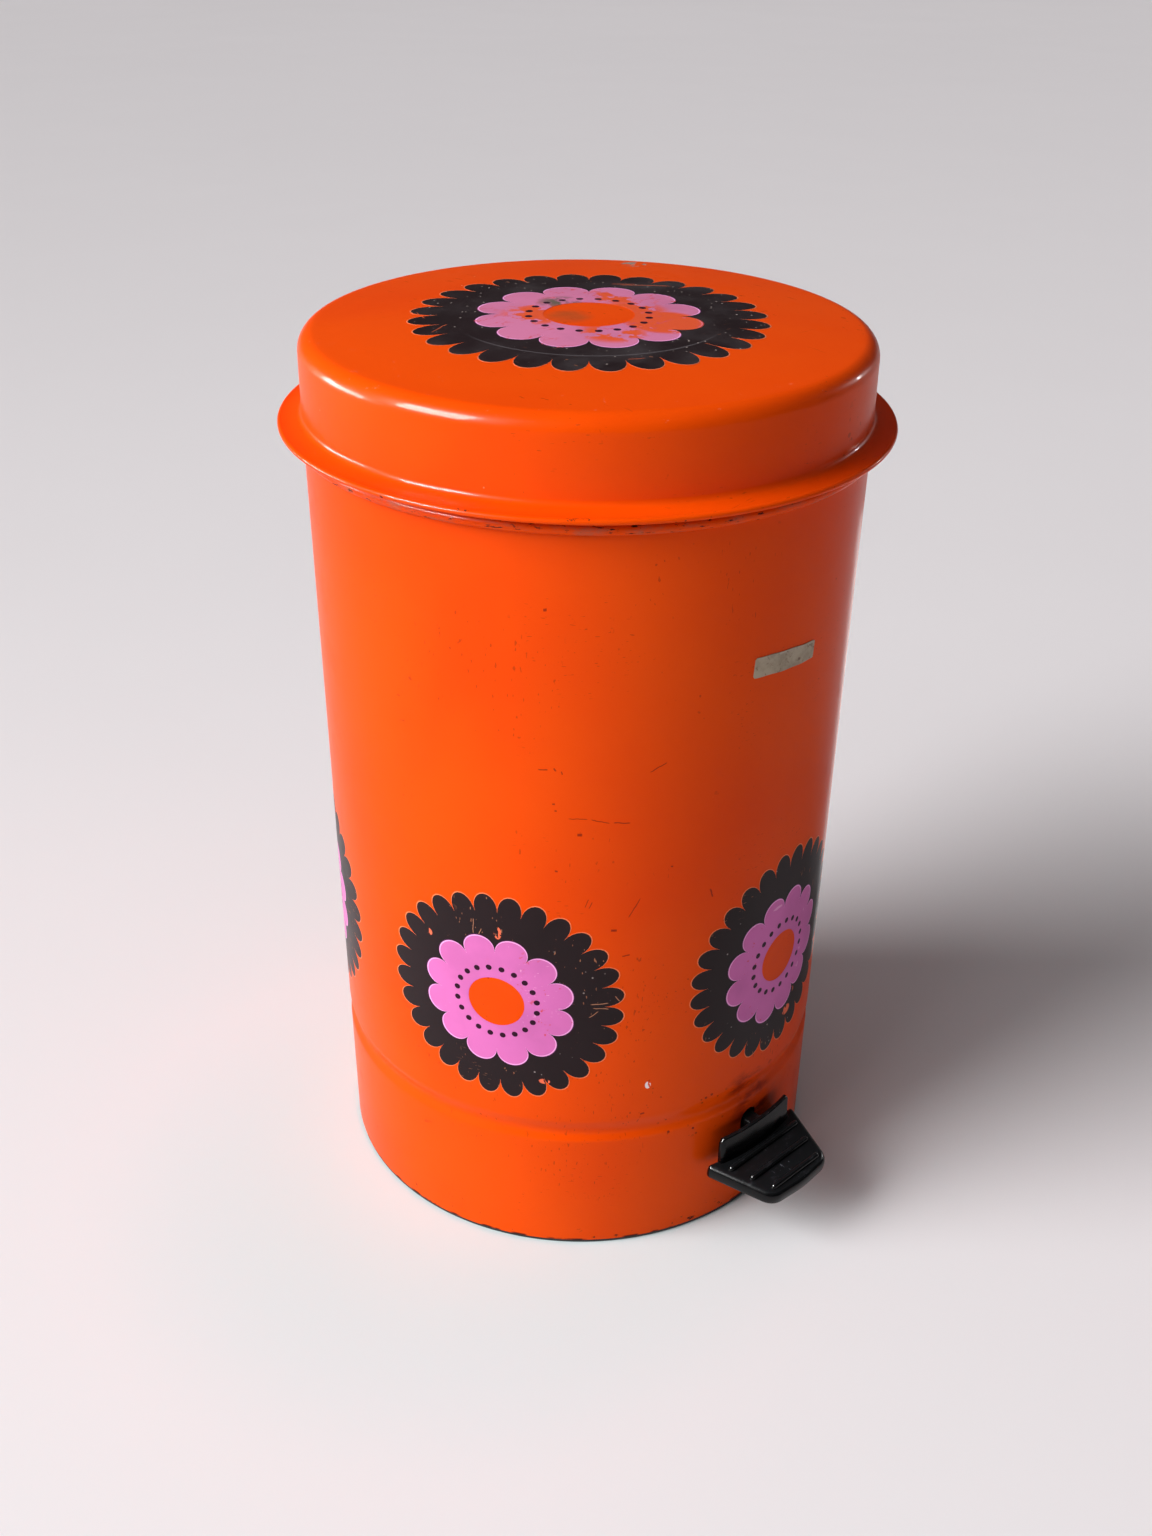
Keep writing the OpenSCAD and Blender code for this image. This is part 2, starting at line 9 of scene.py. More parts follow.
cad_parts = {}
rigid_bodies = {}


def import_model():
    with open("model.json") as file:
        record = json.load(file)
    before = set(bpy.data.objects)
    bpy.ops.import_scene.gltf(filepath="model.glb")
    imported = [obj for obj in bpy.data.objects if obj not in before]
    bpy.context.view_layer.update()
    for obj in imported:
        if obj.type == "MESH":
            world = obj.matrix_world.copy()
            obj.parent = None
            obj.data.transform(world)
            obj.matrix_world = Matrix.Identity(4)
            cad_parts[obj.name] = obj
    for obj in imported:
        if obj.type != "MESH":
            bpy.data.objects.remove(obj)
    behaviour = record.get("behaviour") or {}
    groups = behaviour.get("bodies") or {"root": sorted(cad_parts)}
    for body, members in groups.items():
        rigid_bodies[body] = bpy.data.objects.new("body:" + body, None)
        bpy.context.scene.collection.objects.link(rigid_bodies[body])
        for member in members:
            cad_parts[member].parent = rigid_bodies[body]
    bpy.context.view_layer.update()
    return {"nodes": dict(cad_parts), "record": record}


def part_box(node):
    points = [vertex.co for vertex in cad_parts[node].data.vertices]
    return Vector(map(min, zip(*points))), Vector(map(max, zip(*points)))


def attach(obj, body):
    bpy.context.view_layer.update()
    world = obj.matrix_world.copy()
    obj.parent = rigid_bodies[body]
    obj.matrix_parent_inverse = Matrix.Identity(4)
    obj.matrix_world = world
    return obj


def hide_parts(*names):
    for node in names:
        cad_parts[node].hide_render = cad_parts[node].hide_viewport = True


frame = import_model()

# Lengths are metres. Azimuth is measured from the pedal (-Y) towards +X.
MM = 0.001
WELD = 1e-7                                     # points closer than this are one
SLOT_OF = {part["node"]: part["material_slot"] for part in frame["record"]["subparts"]}
BODY_OF = {
    node: body
    for body, nodes in frame["record"]["behaviour"]["bodies"].items()
    for node in nodes
}


# ---------------------------------------------------------------- sizes of the can

def corner(node):
    """Highest corner of a node's box."""
    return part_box(node)[1]


SHEET = 0.8 * MM                                # thickness of the pressed steel
BEAD_R = 2.6 * MM                               # section of the body's rolled rim
FOOT_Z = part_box("outer_body")[0].z
RIM = (corner("outer_body").x - BEAD_R, corner("outer_body").z - BEAD_R)
TOP_R = RIM[0] - BEAD_R + MM                    # outer radius of the body at the rim
FOOT_R = corner("floor_ring").x + 0.3 * MM      # and at the floor
CONE = (TOP_R - FOOT_R) / RIM[1]                # how much the radius grows with height
GROOVE_Z = 71 * MM
GROOVE_DEPTH = 1.9 * MM
GROOVE_UP = 9 * MM
GROOVE_DOWN = 5.5 * MM
SLOT_HALF = 5.5 * MM                            # the lever's slot in the skirt
SLOT_Z = (16.5 * MM, 59 * MM)

CROWN_Z = corner("lid").z
FLANGE_R = corner("lid").x
LID_R = FLANGE_R - 10.7 * MM
SHOULDER_R = 7.7 * MM
DOME_RISE = 4.5 * MM
SHOULDER = (LID_R - SHOULDER_R, CROWN_Z - DOME_RISE - SHOULDER_R)
FLANGE_Z = CROWN_Z - 37.5 * MM
FILLET_R = 3 * MM
FLANGE_SLOPE = math.radians(13)
LIP_R = 1.25 * MM
LIP_DROP = 0.98 * MM

ROSETTE_Z = 147.8 * MM                          # height of the body rosettes' centres
ROSETTE_AZ = [math.radians(7 + 69 * k) for k in range(-2, 3)]
SEAM_AZ = math.radians(187.6)                   # the body's lapped side seam, at the back
LID_PRINT_TURN = math.radians(-44.5)


def body_r(z):
    """Outer radius of the body's cone at a height."""
    return FOOT_R + CONE * z


def groove(z):
    """Depth of the pressed groove at a height."""
    d = z - GROOVE_Z
    reach = GROOVE_UP if d > 0 else GROOVE_DOWN
    if abs(d) >= reach:
        return 0.0
    return GROOVE_DEPTH * (1 + math.cos(math.pi * d / reach)) / 2


def dome_z(r):
    """Height of the lid's top at a radius."""
    return CROWN_Z - DOME_RISE * (r / SHOULDER[0]) ** 2


def arc(centre, radius, start, end, steps):
    """Points of an arc in the radius-height plane, angles in degrees."""
    angles = np.radians(np.linspace(start, end, steps + 1))
    return [(centre[0] + radius * math.cos(a), centre[1] + radius * math.sin(a)) for a in angles]


def point_at(azimuth, r, z):
    """The point at an azimuth, radius and height."""
    return (r * math.sin(azimuth), -r * math.cos(azimuth), z)


def circle(radius, z, steps=64, full=2 * math.pi):
    """Points of a level circle about the can's axis."""
    return [(radius * math.cos(a), radius * math.sin(a), z)
            for a in np.linspace(0, full, steps, endpoint=False)]


def headings(line):
    """Unit direction of the line at each of its points."""
    run = np.gradient(np.array(line), axis=0)
    return run / np.linalg.norm(run, axis=1)[:, None]


def beside(line, gap):
    """The open line moved by gap to its right, with the axis as its limit."""
    run = headings(line)
    moved = np.array(line) + gap * np.stack([run[:, 1], -run[:, 0]], 1)
    return [(max(0.0, r), z) for r, z in moved]


# ---------------------------------------------------------------- meshes

def add_object(name, data):
    made = bpy.data.objects.new(name, data)
    bpy.context.scene.collection.objects.link(made)
    return made


def finish_mesh(name, bm, material, sharp=35.0):
    """A new object from bm, merged and facing outwards, smooth but for its sharp edges."""
    bmesh.ops.remove_doubles(bm, verts=bm.verts, dist=WELD)
    bmesh.ops.dissolve_degenerate(bm, edges=bm.edges, dist=WELD)
    if bm.calc_volume(signed=True) < 0:
        bmesh.ops.reverse_faces(bm, faces=bm.faces)
    mesh = bpy.data.meshes.new(name)
    bm.to_mesh(mesh)
    bm.free()
    mesh.shade_smooth()
    mesh.set_sharp_from_angle(angle=math.radians(sharp))
    mesh.materials.append(material)
    return add_object(name, mesh)


def add_grid(bm, rows, loop_rows=False, loop_columns=False):
    """Adds quads between rows of points, each row a list of the same length."""
    verts = [[bm.verts.new(p) for p in row] for row in rows]
    n, m = len(verts), len(verts[0])
    for i in range(n if loop_rows else n - 1):
        for j in range(m if loop_columns else m - 1):
            a, b = verts[i], verts[(i + 1) % n]
            bm.faces.new((a[j], a[(j + 1) % m], b[(j + 1) % m], b[j]))
    return verts


def lathe(bm, outline, steps=288):
    """Turns a closed outline of (radius, height) about the can's axis."""
    turns = np.linspace(0, 2 * math.pi, steps, endpoint=False)
    rows = [[(r * math.cos(a), r * math.sin(a), z) for r, z in outline] for a in turns]
    add_grid(bm, rows, loop_rows=True, loop_columns=True)


def baked(draft, name, sharp=40.0):
    """A new smooth object, draft with its modifiers applied; draft itself is removed."""
    bpy.context.view_layer.update()
    graph = bpy.context.evaluated_depsgraph_get()
    mesh = bpy.data.meshes.new_from_object(
        draft.evaluated_get(graph), preserve_all_data_layers=True, depsgraph=graph
    )
    bpy.data.objects.remove(draft)
    mesh.name = name
    mesh.shade_smooth()
    mesh.set_sharp_from_angle(angle=math.radians(sharp))
    return add_object(name, mesh)


def put(piece, body, nodes=()):
    """Says which body a finished piece rides on and what it stands for."""
    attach(piece, body)
    if nodes:
        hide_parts(*nodes)


# ---------------------------------------------------------------- node helpers

class Term:
    """A node's output, on which plain arithmetic makes further nodes."""

    def __init__(self, graph, socket):
        self.graph = graph
        self.socket = socket

    def __add__(self, other):
        return self.graph.math("ADD", self, other)

    def __sub__(self, other):
        return self.graph.math("SUBTRACT", self, other)

    def __rsub__(self, other):
        return self.graph.math("SUBTRACT", other, self)

    def __mul__(self, other):
        return self.graph.math("MULTIPLY", self, other)

    def __truediv__(self, other):
        return self.graph.math("DIVIDE", self, other)

    __radd__ = __add__
    __rmul__ = __mul__


class Graph:
    """Adds nodes to a tree. An input may be a number, a tuple or a Term."""

    def __init__(self, tree):
        self.tree = tree

    def feed(self, socket, value):
        if isinstance(value, Term):
            self.tree.links.new(value.socket, socket)
        elif value is not None:
            socket.default_value = value

    def node(self, kind, *inputs, named=None, **settings):
        """A new node, its inputs fed in order, and those in named by their labels."""
        made = self.tree.nodes.new(kind)
        for key, value in settings.items():
            setattr(made, key, value)
        for socket, value in zip(made.inputs, inputs):
            self.feed(socket, value)
        for label, value in (named or {}).items():
            self.feed(made.inputs[label], value)
        return made

    def out(self, kind, *inputs, pick=0, **settings):
        """One output of a new node."""
        return Term(self, self.node(kind, *inputs, **settings).outputs[pick])

    def math(self, operation, *inputs):
        return self.out("ShaderNodeMath", *inputs, operation=operation)

    def vector(self, x, y, z):
        return self.out("ShaderNodeCombineXYZ", x, y, z)

    def split(self, vector):
        return [Term(self, socket) for socket in self.node("ShaderNodeSeparateXYZ", vector).outputs]


def srgb(*values):
    """A colour as linear light, from the 0 to 255 values of a paint card."""
    share = [v / 255 for v in values]
    return tuple(v / 12.92 if v <= 0.04045 else ((v + 0.055) / 1.055) ** 2.4 for v in share) + (1,)


def darker(colour, share):
    return tuple(share * c for c in colour[:3]) + (1,)


class Finish(Graph):
    """A surface finish: a base colour, roughness and height, with masked layers over it."""

    def __init__(self, name, colour, rough, **surface):
        self.material = bpy.data.materials.new(name)
        self.material.use_nodes = True
        super().__init__(self.material.node_tree)
        self.shader = self.tree.nodes["Principled BSDF"]
        for key, value in surface.items():
            self.shader.inputs[key.replace("_", " ")].default_value = value
        self.place = self.out("ShaderNodeTexCoord", pick="Object")
        self.colour = colour
        self.rough = rough
        self.height = 0.0

    def noise(self, scale, detail=3, rough=0.5, stretch=None, shift=0.0):
        """Noise between about 0.2 and 0.8, at a scale in waves per metre."""
        where = self.place
        if stretch or shift:
            moved = (shift, shift / 2, -shift)
            where = self.out("ShaderNodeMapping", where, moved, named={"Scale": stretch or (1, 1, 1)})
        grain = {"Scale": scale, "Detail": detail, "Roughness": rough}
        return self.out("ShaderNodeTexNoise", where, named=grain)

    def cells(self, scale, shift=0.0, pick="Distance"):
        """Distance to the nearest of scattered points, in cell sizes, or each cell's Color."""
        where = self.out("ShaderNodeMapping", self.place, (shift, -shift, shift))
        return self.out("ShaderNodeTexVoronoi", where, pick=pick, named={"Scale": scale})

    def ramp(self, value, low, high):
        """0 below low, 1 above high, smooth between; low may be above high."""
        start, end = float(low > high), float(low <= high)
        ends = {"From Min": min(low, high), "From Max": max(low, high), "To Min": start, "To Max": end}
        return self.out("ShaderNodeMapRange", value, named=ends, interpolation_type="SMOOTHSTEP")

    def cloud(self, low, high, *noise, **more):
        """Patches of noise, 0 below low and 1 above high."""
        return self.ramp(self.noise(*noise, **more), low, high)

    def dots(self, edge, full, scale, shift=0.0):
        """Scattered round dots, 1 within full of their middles and 0 past edge."""
        return self.ramp(self.cells(scale, shift), edge, full)

    def either(self, *masks):
        made = masks[0]
        for mask in masks[1:]:
            made = self.math("MAXIMUM", made, mask)
        return made

    def polar(self):
        """Azimuth, radius and height of the point, about the can's axis."""
        x, y, z = self.split(self.place)
        return self.math("ARCTAN2", x, y * -1.0), self.math("SQRT", x * x + y * y), z

    def spot(self, azimuth, height, half_width, half_height, soft=1.0):
        """An oval patch on the can's wall, in mm, 1 at its middle and 0 past its edge."""
        turn, _, z = self.polar()
        across = (turn - math.radians(azimuth)) * (TOP_R / (half_width * MM))
        along = (z - height * MM) * (1 / (half_height * MM))
        return self.ramp(across * across + along * along, 1.0, 1.0 - soft)

    def patch(self, x, y, radius, soft=1.0):
        """A round patch seen from above, in mm, 1 at its middle and 0 past its edge."""
        px, py, _ = self.split(self.place)
        dx = (px - x * MM) * (1 / (radius * MM))
        dy = (py - y * MM) * (1 / (radius * MM))
        return self.ramp(dx * dx + dy * dy, 1.0, 1.0 - soft)

    def strokes(self, across, along, marks):
        """Straight marks in mm, each (across, along, length, turn in degrees, width), wavering a little."""
        waver = self.noise(240, 2) * (1.2 * MM) - 0.6 * MM
        made = []
        for x, y, length, turn, width in marks:
            c, s = math.cos(math.radians(turn)), math.sin(math.radians(turn))
            dx, dy = across - x * MM, along - y * MM
            u = self.math("ABSOLUTE", dx * c + dy * s)
            v = self.math("ABSOLUTE", dy * c + (dx * -s + waver))
            ends = self.ramp(u, 0.5 * length * MM, 0.36 * length * MM)
            made.append(ends * self.ramp(v, 0.5 * width * MM, 0.2 * width * MM))
        return self.either(*made)

    def wall_marks(self, marks):
        """Strokes on the can's wall, each (azimuth in degrees, then height and sizes in mm)."""
        azimuth, _, z = self.polar()
        placed = [(math.radians(turn) * TOP_R / MM, *mark) for turn, *mark in marks]
        return self.strokes(azimuth * TOP_R, z, placed)

    def layer(self, mask, colour=None, rough=None, height=None):
        """Lays a colour, roughness or height over what is there, where the mask is 1."""
        if colour is not None:
            self.colour = self.out(
                "ShaderNodeMix", mask, *[None] * 5, self.colour, colour, pick=2, data_type="RGBA"
            )
        if rough is not None:
            self.rough = self.out("ShaderNodeMix", mask, None, self.rough, rough, data_type="FLOAT")
        if height is not None:
            self.height = mask * height + self.height

    def done(self, depth=0.0):
        """Joins the layers to the shader; depth is the height of 1, in mm."""
        inputs = self.shader.inputs
        self.feed(inputs["Base Color"], self.colour)
        self.feed(inputs["Roughness"], self.rough)
        if depth:
            bump = self.out("ShaderNodeBump", named={"Distance": depth * MM, "Height": self.height})
            self.feed(inputs["Normal"], bump)
            if inputs["Coat Weight"].default_value:
                self.feed(inputs["Coat Normal"], bump)
        return self.material


# ---------------------------------------------------------------- finishes

ORANGE = srgb(236, 77, 2)
ORANGE_DEEP = srgb(231, 68, 1)
ORANGE_WORN = srgb(236, 98, 58)
ORANGE_PALE = srgb(246, 130, 84)
RUST = srgb(72, 26, 16)
SOOT = srgb(40, 24, 20)
STAIN = srgb(150, 38, 10)
DARK_INK = srgb(37, 26, 28)
PINK_INK = srgb(216, 112, 182)
LID_PINK = srgb(214, 124, 164)
PINK_LINE = srgb(248, 170, 226)
PURPLE = srgb(64, 24, 58)
DOT_INK = srgb(48, 14, 36)

# Scratches and knocks on the body's front: azimuth, height, length, turn, width.
WALL_MARKS = [
    (-51.9, 345.8, 1.6, 0, 1.6), (-52.3, 272.2, 4.5, 3, 0.7), (-50.0, 272.4, 1.8, -60, 0.9),
    (-48.6, 271.0, 1.8, -70, 0.7), (-50.2, 255.5, 1.3, 0, 1.0), (-49.8, 252.4, 1.1, 0, 0.9),
    (-45.4, 248.6, 9, -2, 0.5), (-41.0, 247.3, 9, -14, 0.5), (-36.7, 246.2, 8, -5, 0.7),
    (-45.0, 240.6, 2.4, 0, 1.6), (-29.8, 272.2, 9, 27, 0.6), (-49.6, 221.6, 1.4, 0, 1.1),
    (-26.0, 221.0, 1.2, 0, 1.0), (-33.6, 201.5, 12, 62, 0.6), (-43.4, 205.0, 5, 72, 0.5),
    (-42.6, 204.0, 4, 70, 0.5), (-16.5, 202.0, 5.5, -72, 1.0), (-37.7, 190.0, 3, 0, 1.6),
    (-35.0, 176.0, 4, 10, 0.9), (-30.0, 81.5, 2.4, 10, 1.1), (64.0, 231.0, 14, 12, 0.5),
    (118.0, 290.0, 10, -35, 0.5), (-128.0, 210.0, 17, 8, 0.5), (160.0, 120.0, 12, 70, 0.6),
]
# Scratches through the dark print of the body's rosettes, in the same order.
PRINT_MARKS = [
    (-40.3, 149.5, 9, 3, 0.6), (-40.0, 146.8, 8, -6, 0.5), (-41.5, 143.5, 6, 40, 0.5),
    (-67.5, 185.5, 9, 88, 0.4), (-66.0, 183.0, 5, 70, 0.4), (-36.5, 152.0, 4, -50, 0.5),
]
# Scratches through the dark print of the lid's rosette: across, along, length, turn, width.
LID_MARKS = [
    (58, 22, 26, -43, 0.9), (52, 30, 12, -40, 0.8), (-52, 52, 12, 70, 0.5),
    (-60, 30, 14, 20, 0.5), (8, -66, 10, 100, 0.5), (-30, -58, 8, -30, 0.5),
]


def orange_peel(paint):
    """The slightly uneven skin that every sprayed coat has."""
    paint.layer(paint.noise(900, 2), height=0.25)
    paint.layer(paint.noise(60, 2, shift=5.0), height=1.0)


def enamel(name):
    """Orange enamel: slight cloudiness, fine orange peel and a scatter of small dark specks."""
    paint = Finish(
        name, ORANGE, 0.3, Specular_IOR_Level=0.03, Coat_Weight=0.085, Coat_Roughness=0.04
    )
    paint.layer(paint.cloud(0.35, 0.75, 9, 4), ORANGE_DEEP, 0.3)
    paint.layer(paint.cloud(0.5, 0.8, 55, 4, shift=2.0), rough=0.36)
    orange_peel(paint)
    specks = paint.dots(0.045, 0.03, 42) * paint.cloud(0.52, 0.62, 14, 2, shift=7.0)
    paint.layer(specks, RUST, 0.6, -1.0)
    return paint


def scratches(paint, strength=1.0, shift=0.0):
    """A mask of short fine streaks, running several ways in patches."""
    lines = []
    for k, stretch in enumerate([(14, 1, 3), (1, 12, 4), (5, 3, 20)]):
        hair = paint.cloud(0.71, 0.74, 80, 1, 0.5, stretch, shift + 3.1 * k)
        lines.append(hair * paint.cloud(0.56, 0.64, 17, 2, shift=shift + 9.7 * k))
    return paint.either(*lines) * strength


def body_enamel():
    """The body's enamel, with worn rim, chips, rust and scuffs round the pedal, and painted shade darkening
    the wall round the pedal.
    """
    paint = enamel("body_enamel")
    z = paint.split(paint.place)[2]
    paint.layer(scratches(paint, 0.5), STAIN, 0.5)
    paint.layer(paint.wall_marks(WALL_MARKS), STAIN, 0.5, -0.5)

    rim = paint.ramp(z, RIM[1] - 4.5 * MM, RIM[1] - 2 * MM)
    paint.layer(rim * paint.cloud(0.45, 0.68, 70, 5, 0.7, (1, 1, 3)), srgb(198, 92, 62), 0.5)
    paint.layer(rim * paint.cloud(0.6, 0.66, 150, 4, 0.7, (1, 1, 4), 4.0), SOOT, 0.7, -1.0)

    # Mottled dark red round the pedal and along the groove above it: partly grime, partly painted shade
    # from the pedal.
    smear_and_shade = paint.cloud(0.42, 0.62, 40, 5, 0.65, (1, 1, 2.5), 1.3)
    grime = paint.either(paint.spot(-2, 77, 17, 11), paint.spot(2, 60, 22, 20))
    paint.layer(grime * smear_and_shade, srgb(136, 30, 8), 0.5)
    # Painted shade: a smooth deeper red over the wall round the pedal, standing in for the pedal's shadow.
    paint.layer(paint.spot(0, 52, 40, 34) * 0.35, srgb(150, 36, 4))
    along_groove = paint.ramp(z, 57 * MM, 63 * MM) * paint.ramp(z, 86 * MM, 80 * MM)
    gritty = paint.cloud(0.52, 0.6, 60, 3, shift=3.3) * paint.spot(-15, 71, 26, 14, 0.5)
    pits = paint.dots(0.27, 0.18, 290) * along_groove * gritty
    paint.layer(pits, srgb(96, 20, 8), 0.7, -1.5)

    foot = paint.ramp(z, 12 * MM, 4 * MM)
    paint.layer(foot * paint.cloud(0.64, 0.68, 210, 4, 0.7, shift=6.0), RUST, 0.75, -1.0)
    edge = paint.ramp(z, FOOT_Z + 1.3 * MM, FOOT_Z + 0.4 * MM)
    paint.layer(edge * paint.cloud(0.45, 0.6, 90, 3, shift=1.0), RUST, 0.7)

    chip = paint.spot(-29, 98.7, 1.5, 2.2, 0.1) * paint.cloud(0.42, 0.46, 420, 2)
    paint.layer(chip, srgb(250, 236, 238), 0.6, -2.0)
    return paint.done(0.02)


def lid_enamel():
    """The lid's enamel, worn on its shoulder, lip and back."""
    paint = enamel("lid_enamel")
    _, radius, z = paint.polar()
    paint.layer(scratches(paint, 0.3, 5.0), RUST, 0.5)
    shoulder = paint.ramp(z, SHOULDER[1] + 2.5 * MM, SHOULDER[1] + 5 * MM) * paint.ramp(
        z, CROWN_Z - 2 * MM, CROWN_Z - 4 * MM
    )
    rubbed = paint.cloud(0.66, 0.7, 240, 4, 0.7, (1, 1, 2), 8.0)
    paint.layer(shoulder * rubbed, ORANGE_WORN, 0.6, -1.0)
    paint.layer(paint.dots(0.055, 0.03, 110, 0.4) * paint.cloud(0.56, 0.64, 30), srgb(244, 168, 132), 0.6)
    paint.layer(paint.patch(-9, 4, 13) * paint.noise(90, 4), srgb(150, 78, 40), 0.5)
    lip = paint.ramp(radius, FLANGE_R - 2.6 * MM, FLANGE_R - 1.2 * MM)
    paint.layer(lip * paint.cloud(0.63, 0.67, 150, 4, 0.75, shift=2.7), RUST, 0.7, -1.5)
    chipped = paint.patch(92, 62, 7, 0.5) * paint.cloud(0.48, 0.53, 140, 4, 0.6)
    paint.layer(chipped, srgb(150, 132, 122), 0.6, -2.0)
    return paint.done(0.02)


def print_ink(name, ink, outline, wear, pale=None):
    """Printed colour with a fine outline and perhaps a pale line inside it, worn through to the enamel.

    The mesh carries each point's distance from the print's edge as "rim"."""
    paint = Finish(name, ink, 0.32, Specular_IOR_Level=0.05, Coat_Weight=0.12, Coat_Roughness=0.07)
    rim = paint.out("ShaderNodeAttribute", pick="Fac", attribute_name="rim")
    paint.layer(paint.cloud(0.4, 0.7, 38, 4), darker(ink, 0.88), 0.38)
    if pale:
        paint.layer(paint.ramp(rim, 1.35 * MM, 1.05 * MM), pale)
    paint.layer(paint.ramp(rim, 0.6 * MM, 0.45 * MM), outline)
    wear(paint)
    orange_peel(paint)
    return paint.done(0.02)


def wear_body_dark(paint):
    paint.layer(scratches(paint, 0.8, 2.0), srgb(170, 110, 80), 0.5)
    paint.layer(paint.wall_marks(PRINT_MARKS), srgb(176, 120, 92), 0.5)
    knocked = paint.either(
        paint.spot(-62, 184.5, 2, 3.6, 0.3), paint.spot(-78.8, 174, 2.4, 2.2, 0.3),
        paint.spot(-52, 103, 3, 1.6, 0.3), paint.spot(12, 106, 4, 3, 0.3),
        paint.cloud(0.71, 0.74, 33, 2, shift=1.9),
    )
    chips = knocked * paint.cloud(0.5, 0.54, 330, 3, 0.6, (1, 1, 0.5), 4.4)
    paint.layer(chips, srgb(240, 112, 78), 0.45, -1.0)
    paint.layer(paint.dots(0.1, 0.06, 190, 0.3) * paint.cloud(0.5, 0.6, 30), srgb(150, 138, 136), 0.6)


def wear_body_pink(paint):
    chips = paint.cloud(0.66, 0.69, 230, 3, 0.6, shift=8.8) * paint.cloud(0.5, 0.58, 24, 2, shift=4.2)
    paint.layer(chips, srgb(214, 76, 92), 0.45, -1.0)
    paint.layer(scratches(paint, 0.5, 6.0), srgb(250, 190, 226), 0.4)


def wear_lid_dark(paint):
    paint.layer(paint.cloud(0.4, 0.8, 30, 5, 0.6, shift=3.0), srgb(66, 60, 62), 0.45)
    paint.layer(scratches(paint, 0.9, 1.0), srgb(150, 96, 74), 0.5)
    paint.layer(paint.dots(0.13, 0.08, 240, 0.9) * paint.cloud(0.42, 0.56, 26), srgb(170, 158, 152), 0.6)
    x, y, _ = paint.split(paint.place)
    paint.layer(paint.strokes(x, y, LID_MARKS), srgb(206, 96, 60), 0.5)
    off_ring = paint.math("ABSOLUTE", paint.polar()[1] - 60 * MM)
    ring = paint.ramp(off_ring, 0.7 * MM, 0.2 * MM) * paint.patch(-30, -34, 60, 0.7)
    paint.layer(ring * 0.5, srgb(110, 104, 108), 0.5)


def wear_lid_pink(paint):
    edge = paint.noise(85, 4, 0.6, shift=2.2)
    rubbed = ((16, -30, 19, 0.4, 0.36), (17, -8, 20, 0.7, 0.44), (-12, -27, 17, 0.7, 0.5),
              (-14, 14, 22, 0.8, 0.52), (34, 12, 20, 0.8, 0.53))
    bare = [paint.patch(*where) * paint.ramp(edge, low, low + 0.04) for *where, low in rubbed]
    paint.layer(paint.either(*bare), srgb(226, 88, 50), 0.4, -1.0)
    thin = paint.cloud(0.55, 0.66, 150, 4, 0.7, (1, 2.5, 1), 7.2) * paint.cloud(0.42, 0.6, 28)
    paint.layer(thin, srgb(214, 84, 92), 0.4)
    smudge = paint.patch(5, 24, 12) * paint.cloud(0.36, 0.56, 160, 4)
    paint.layer(smudge, srgb(104, 92, 80), 0.6)


def wear_dots(paint):
    paint.layer(paint.cloud(0.55, 0.75, 200), rough=0.5)


def edging_plastic():
    paint = Finish("black_edging", srgb(34, 32, 32), 0.5)
    paint.layer(paint.cloud(0.45, 0.75, 60, 4), srgb(62, 56, 54), 0.7)
    paint.layer(paint.noise(500, 2), height=1.0)
    return paint.done(0.03)


def moulding():
    paint = Finish("black_nylon", srgb(26, 26, 27), 0.45)
    paint.layer(paint.cloud(0.45, 0.7, 120, 4), srgb(44, 43, 43), 0.6)
    paint.layer(paint.noise(600, 3), height=1.0)
    return paint.done(0.03)


def pedal_plastic():
    """Black moulded plastic, polished and scuffed where shoes rub it, with painted light: faces turned
    upwards are painted a lighter grey than the sides.
    """
    paint = Finish("pedal_plastic", srgb(5, 5, 6), 0.2, Specular_IOR_Level=0.24)
    paint.layer(paint.cloud(0.42, 0.7, 90, 4), srgb(8, 8, 9), 0.25)
    # Painted light: faces turned upwards get a lighter grey than the black sides and ends, as if lit from
    # above.
    facing_up = paint.split(paint.out("ShaderNodeNewGeometry", pick="Normal"))[2]
    top = paint.ramp(facing_up, 0.55, 0.9)
    paint.layer(top, srgb(19, 20, 22), 0.28)
    paint.layer(top * paint.cloud(0.55, 0.68, 130, 5, 0.75, (1, 2, 1), 3.0), srgb(40, 42, 46), 0.36)
    nicks = top * paint.cloud(0.65, 0.68, 210, 3, 0.7, (3, 1, 1), 6.0) * paint.cloud(0.5, 0.6, 45, 2)
    paint.layer(nicks, srgb(110, 112, 120), 0.3)
    paint.layer(paint.noise(700, 3), height=1.0)
    return paint.done(0.008)


def rubber():
    paint = Finish("buffer_rubber", srgb(30, 29, 29), 0.75)
    paint.layer(paint.cloud(0.4, 0.7, 300, 4), srgb(58, 55, 52), 0.85, 1.0)
    return paint.done(0.04)


def zinc(name, colour, rough, stain):
    """Zinc plated steel, dulled, with faint rolling lines and stains."""
    paint = Finish(name, colour, rough, Metallic=0.45)
    paint.layer(paint.cloud(0.4, 0.75, 60, 5, 0.6), darker(colour, 0.72), rough + 0.15)
    paint.layer(paint.noise(120, 3, 0.6, (1, 9, 9)), height=1.0)
    stains = paint.cloud(0.6 - 0.1 * stain, 0.72, 95, 4, 0.7, shift=3.7)
    paint.layer(stains, srgb(120, 84, 58), 0.7, -1.0)
    return paint.done(0.015)


def galvanised():
    """Galvanised sheet: large soft spangles, dull and slightly scratched."""
    paint = Finish("galvanised_sheet", srgb(182, 186, 190), 0.42, Metallic=0.3)
    tone = paint.split(paint.cells(110, pick="Color"))[0]
    paint.layer(paint.ramp(tone, 0.2, 0.9), srgb(150, 156, 162), 0.5)
    paint.layer(tone, height=0.5)
    paint.layer(paint.cloud(0.5, 0.75, 16, 5), srgb(150, 148, 142), 0.6)
    paint.layer(scratches(paint, 0.7, 4.0), srgb(210, 212, 214), 0.3)
    return paint.done(0.02)


